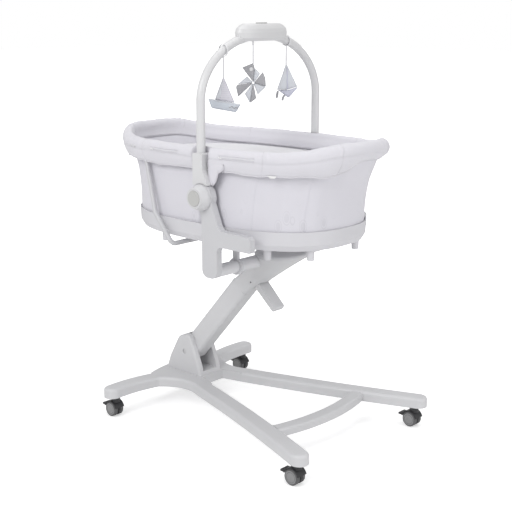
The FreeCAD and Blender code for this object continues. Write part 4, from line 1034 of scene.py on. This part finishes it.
BLADES = (("top_dark", "blade_a", 0.0075, ((-35, -47), (0, -61), (5, -46), (1, -4), (-3, -6))),
          ("top_pale", "blade_b", 0.0060, ((5, -46), (22, -28), (4, -2), (1, -4))),
          ("right_dark", "blade_a", 0.0075, ((30, -34), (38, -15), (40, 12), (3, 1), (5, -3))),
          ("right_pale", "blade_b", 0.0060, ((40, 12), (14, 37), (1, 3), (3, 1))),
          ("low_pale", "sail_b", 0.0075, ((-27, 34), (-10, 63), (-1, 4), (-4, 4))),
          ("low_dark", "blade_a", 0.0060, ((-10, 63), (10, 48), (1, 3), (-1, 4))),
          ("left_dark", "blade_a", 0.0075, ((-47, 44), (-54, 13), (-50, 6), (-3, 0), (-4, 4))),
          ("left_pale", "blade_b", 0.0060, ((-50, 5), (-19, -20), (-2, -3), (-3, 0))))


def face_ring(name, centre, radius, width, material, count):
    """A ring that lies on a toy's face."""
    ring = [centre + ACROSS * radius * math.cos(2 * math.pi * k / count)
            + Vector((0, 0, radius * math.sin(2 * math.pi * k / count))) for k in range(count)]
    return tube_mesh(name, ring, width, material, closed=True, sides=8, normal=lambda i: TOWARDS)


def pinwheel():
    hang = Vector((ARCH_X, WHEEL_Y, box_of("music_box_base")[0].z))
    drop = 0.128
    pieces = []
    for word, material, thick, corners in BLADES:
        pieces.append(pillow(f"pinwheel_toy_{word}", below(drop, *corners), hang, thick, M[material],
                             step=0.0028, rounding=0.003))
    stitch_at = hang - Vector((0, 0, drop)) + TOWARDS * 0.0030
    pieces.append(face_ring("pinwheel_toy_stitch", stitch_at, 0.004, 0.0014, M["blade_b"], 20))
    eyelet_at = hang - Vector((0, 0, drop - 0.042)) + TOWARDS * 0.0036 - ACROSS * 0.006
    pieces.append(face_ring("pinwheel_toy_eyelet", eyelet_at, 0.0048, 0.0013, M["ribbon"], 24))
    disc = [eyelet_at + TOWARDS * (0.0002 * k) for k in range(3)]
    pieces.append(tube_mesh("pinwheel_toy_eyelet_face", disc, 0.0044, M["white_tag"], sides=24))
    start, end = hang - Vector((0, 0, 0.0016)), hang - Vector((0, 0, drop - 0.058))
    tail = ribbon_strip("pinwheel_toy_tape", *twisting(start, end, 14), 0.0011)
    roll = [hang + Vector((0, -0.0028 + 0.0056 * k / 4, -0.00215)) for k in range(5)]
    knot = tube_mesh("pinwheel_toy_knot", roll, 0.0019, M["ribbon"], sides=14)
    for obj in pieces:
        settle(obj, "pinwheel")
    for obj in (tail, knot):
        settle(obj, "pinwheel")
    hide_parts("pinwheel_toy")
    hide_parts("pinwheel_toy_ribbon")
    for obj in pieces[:len(BLADES)]:
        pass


boat()
kite()
pinwheel()


# ---------------------------------------------------------------- cover trims

def on_skirt(x, z, side):
    """How far out the rim's skirt or the wall stands at a place on one side."""
    turn = turn_at(x, side)
    if z > hem_z(turn) + 0.001:
        up = (z - hem_z(turn)) / (seam_z(turn) - hem_z(turn))
        tuck = (1 - min(1.0, up)) ** TUCK_POWER
        half = RIM_B - SKIRT_BACK - TUCK_B * tuck
    else:
        half = wall_half(z)[1] + 0.0015
    share = max(0.0, 1 - abs((x - BASKET_X) / RIM_A) ** POWER) ** (1 / POWER)
    return half * share


FLAP = ((0.0705, 0.9160), (0.1010, 0.9160), (0.1360, 0.9040), (0.1330, 0.8880), (0.1120, 0.8760),
        (0.1040, 0.8530), (0.0920, 0.8380), (0.0740, 0.8400))
FLAP_LIMIT = 0.2665                       # the flap stays inside the arch's foot


def flap_out(x, side):
    return min(FLAP_LIMIT, on_skirt(x, 0.9, side) + 0.0006)


for word, side in SIDES:
    patch(f"arch_flap_{word}", side, FLAP, lambda x, z, side=side: flap_out(x, side), 0.0040,
          M["cover"])
    edge = [Vector((x, side * (flap_out(x, side) + 0.0022), z))
            for x, z in resample_2d(list(FLAP), 0.004)]
    binding = tube_mesh(f"arch_flap_binding_{word}", edge, 0.0014, M["piping"], closed=True, sides=8)
    settle(binding, "carrier")


def hem_tag():
    """A small blank white tag folded into the hem."""
    x, side = 0.292, -1
    low = hem_z(turn_at(x, side))
    corners = ((x - 0.006, low - 0.005), (x + 0.008, low - 0.005), (x + 0.014, low + 0.003),
               (x - 0.014, low + 0.003))
    patch("hem_tag", side, corners, lambda u, v: on_skirt(u, low + 0.002, side) - 0.002, 0.0026,
          M["white_tag"])


hem_tag()


def snaps():
    """Two press studs on each side of the skirt near the head end."""
    for word, side in SIDES:
        for i, x in enumerate((-0.305, -0.283)):
            at = rim_point(turn_at(x, side), SKIRT_ROWS + 1, 0.0004)
            away = Vector((at.x - BASKET_X, at.y * 4, 0)).normalized()
            points = [at + away * 0.0005 * k for k in range(4)]
            stud = tube_mesh(f"snap_{word}_{i + 1}", points, 0.0042, M["arch"], sides=18)
            settle(stud, "carrier")


snaps()


# ---------------------------------------------------------------- castor faces

# share of the radius, share of the rise
DOME = ((1.0, -0.6), (1.0, 0.35), (0.955, 0.85), (0.86, 0.95), (0.80, 0.55), (0.40, 0.72),
        (0.34, 1.0), (0.0, 1.1))


def dome(name, centre, outward, radius, rise, material):
    """A shallow round cap with a rolled edge and a raised boss."""
    sides = 48
    verts = []
    for share, out in DOME[:-1]:
        for k in range(sides):
            turn = 2 * math.pi * k / sides
            verts.append(centre + Vector((math.cos(turn) * radius * share, outward * rise * out,
                                          math.sin(turn) * radius * share)))
    verts.append(centre + Vector((0, outward * rise * DOME[-1][1], 0)))
    last = (len(DOME) - 2) * sides
    faces = band(len(DOME) - 1, sides) + [tuple(range(sides))[::-1]]
    faces += [(last + k, last + (k + 1) % sides, len(verts) - 1) for k in range(sides)]
    return make_object(name, verts, faces, material)


FACE_RADIUS, FACE_RISE, FACE_SINK = 0.0205, 0.0010, 0.0006
for corner in CORNERS:
    low, high = box_of("castor_wheels_" + corner)
    middle = (low + high) / 2
    for word, y, outward in (("outer_a", low.y, -1), ("outer_b", high.y, 1)):
        centre = Vector((middle.x, y - outward * FACE_SINK, middle.z))
        cap = dome(f"castor_face_{word}_{corner}", centre, outward, FACE_RADIUS, FACE_RISE,
                   M["hubcap"])
        settle(cap, "wheels_" + corner)


# ---------------------------------------------------------------- stage, lights, camera

scene = bpy.context.scene


def backdrop_material():
    """A white floor that keeps the object's shadow and glows softly into the distance."""
    mat = bpy.data.materials.new("studio_white")
    mat.use_nodes = True
    tree = mat.node_tree
    bsdf = tree.nodes["Principled BSDF"]
    bsdf.inputs["Roughness"].default_value = 0.9
    vector = coordinates(tree)
    speck = noise_value(tree, vector, 3, 2)
    tree.links.new(ramp(tree, speck, 0.2, 0.8, (0.90, 0.90, 0.90), (0.92, 0.92, 0.92)),
                   bsdf.inputs["Base Color"])
    length = node(tree, "ShaderNodeVectorMath", operation="LENGTH")
    tree.links.new(vector, length.inputs[0])
    reach = map_range(tree, length.outputs["Value"], From_Min=0.6, From_Max=2.4, To_Min=0.42,
                      To_Max=1.05)
    seen = node(tree, "ShaderNodeLightPath").outputs["Is Camera Ray"]
    glow = node(tree, "ShaderNodeEmission")
    tree.links.new(math_node(tree, "MULTIPLY", reach, seen), glow.inputs["Strength"])
    total = node(tree, "ShaderNodeAddShader")
    tree.links.new(bsdf.outputs["BSDF"], total.inputs[0])
    tree.links.new(glow.outputs["Emission"], total.inputs[1])
    tree.links.new(total.outputs["Shader"], tree.nodes["Material Output"].inputs["Surface"])
    return mat


bpy.ops.mesh.primitive_plane_add(size=60, location=(0, 0, -0.0005))
floor = bpy.context.object
floor.name = "studio_floor"
floor.data.materials.append(backdrop_material())

AMBIENT, WHITE_SEEN = 0.56, 1.0           # strength of the world as light, and as seen behind


def build_world():
    world = bpy.data.worlds.new("studio")
    scene.world = world
    world.use_nodes = True
    tree = world.node_tree
    tree.nodes["Background"].inputs["Strength"].default_value = 0.0
    blend = tree.nodes.new("ShaderNodeMixShader")
    path = tree.nodes.new("ShaderNodeLightPath")
    tree.links.new(path.outputs["Is Camera Ray"], blend.inputs["Fac"])
    for index, strength in ((1, AMBIENT), (2, WHITE_SEEN)):
        light = tree.nodes.new("ShaderNodeBackground")
        light.inputs["Color"].default_value = (1, 1, 1, 1)
        light.inputs["Strength"].default_value = strength
        tree.links.new(light.outputs["Background"], blend.inputs[index])
    tree.links.new(blend.outputs["Shader"], tree.nodes["World Output"].inputs["Surface"])


build_world()


def lamp(name, place, target, size_m, power):
    data = bpy.data.lights.new(name, "AREA")
    data.shape = "DISK"
    data.size = size_m
    data.energy = power
    obj = bpy.data.objects.new(name, data)
    scene.collection.objects.link(obj)
    obj.location = place
    obj.rotation_euler = (Vector(target) - Vector(place)).to_track_quat("-Z", "Y").to_euler()


# place, target, width in metres, power in watts
lamp("key", (0.4, -3.6, 3.0), (0, 0, 0.7), 2.4, 72)
lamp("fill", (3.6, 0.4, 1.4), (0, 0, 0.6), 2.8, 30)
lamp("top", (-0.2, 0.4, 4.0), (0, 0, 0.8), 3.0, 34)

SENSOR_MM, LENS_MM = 36, 72.489375
AZIMUTH, PITCH, DISTANCE = math.radians(42.628), math.radians(13.305), 3.385
LOOK_AT = Vector((0.018, 0, 0.563))

camera_data = bpy.data.cameras.new("camera")
camera = bpy.data.objects.new("camera", camera_data)
scene.collection.objects.link(camera)
scene.camera = camera
camera_data.sensor_width = SENSOR_MM
camera_data.lens = LENS_MM
camera_data.clip_end = 200
back_way = Vector((math.sin(AZIMUTH) * math.cos(PITCH), -math.cos(AZIMUTH) * math.cos(PITCH),
                   math.sin(PITCH)))
camera.location = LOOK_AT + back_way * DISTANCE
camera.rotation_euler = (-back_way).to_track_quat("-Z", "Y").to_euler()

scene.view_settings.view_transform = "Standard"
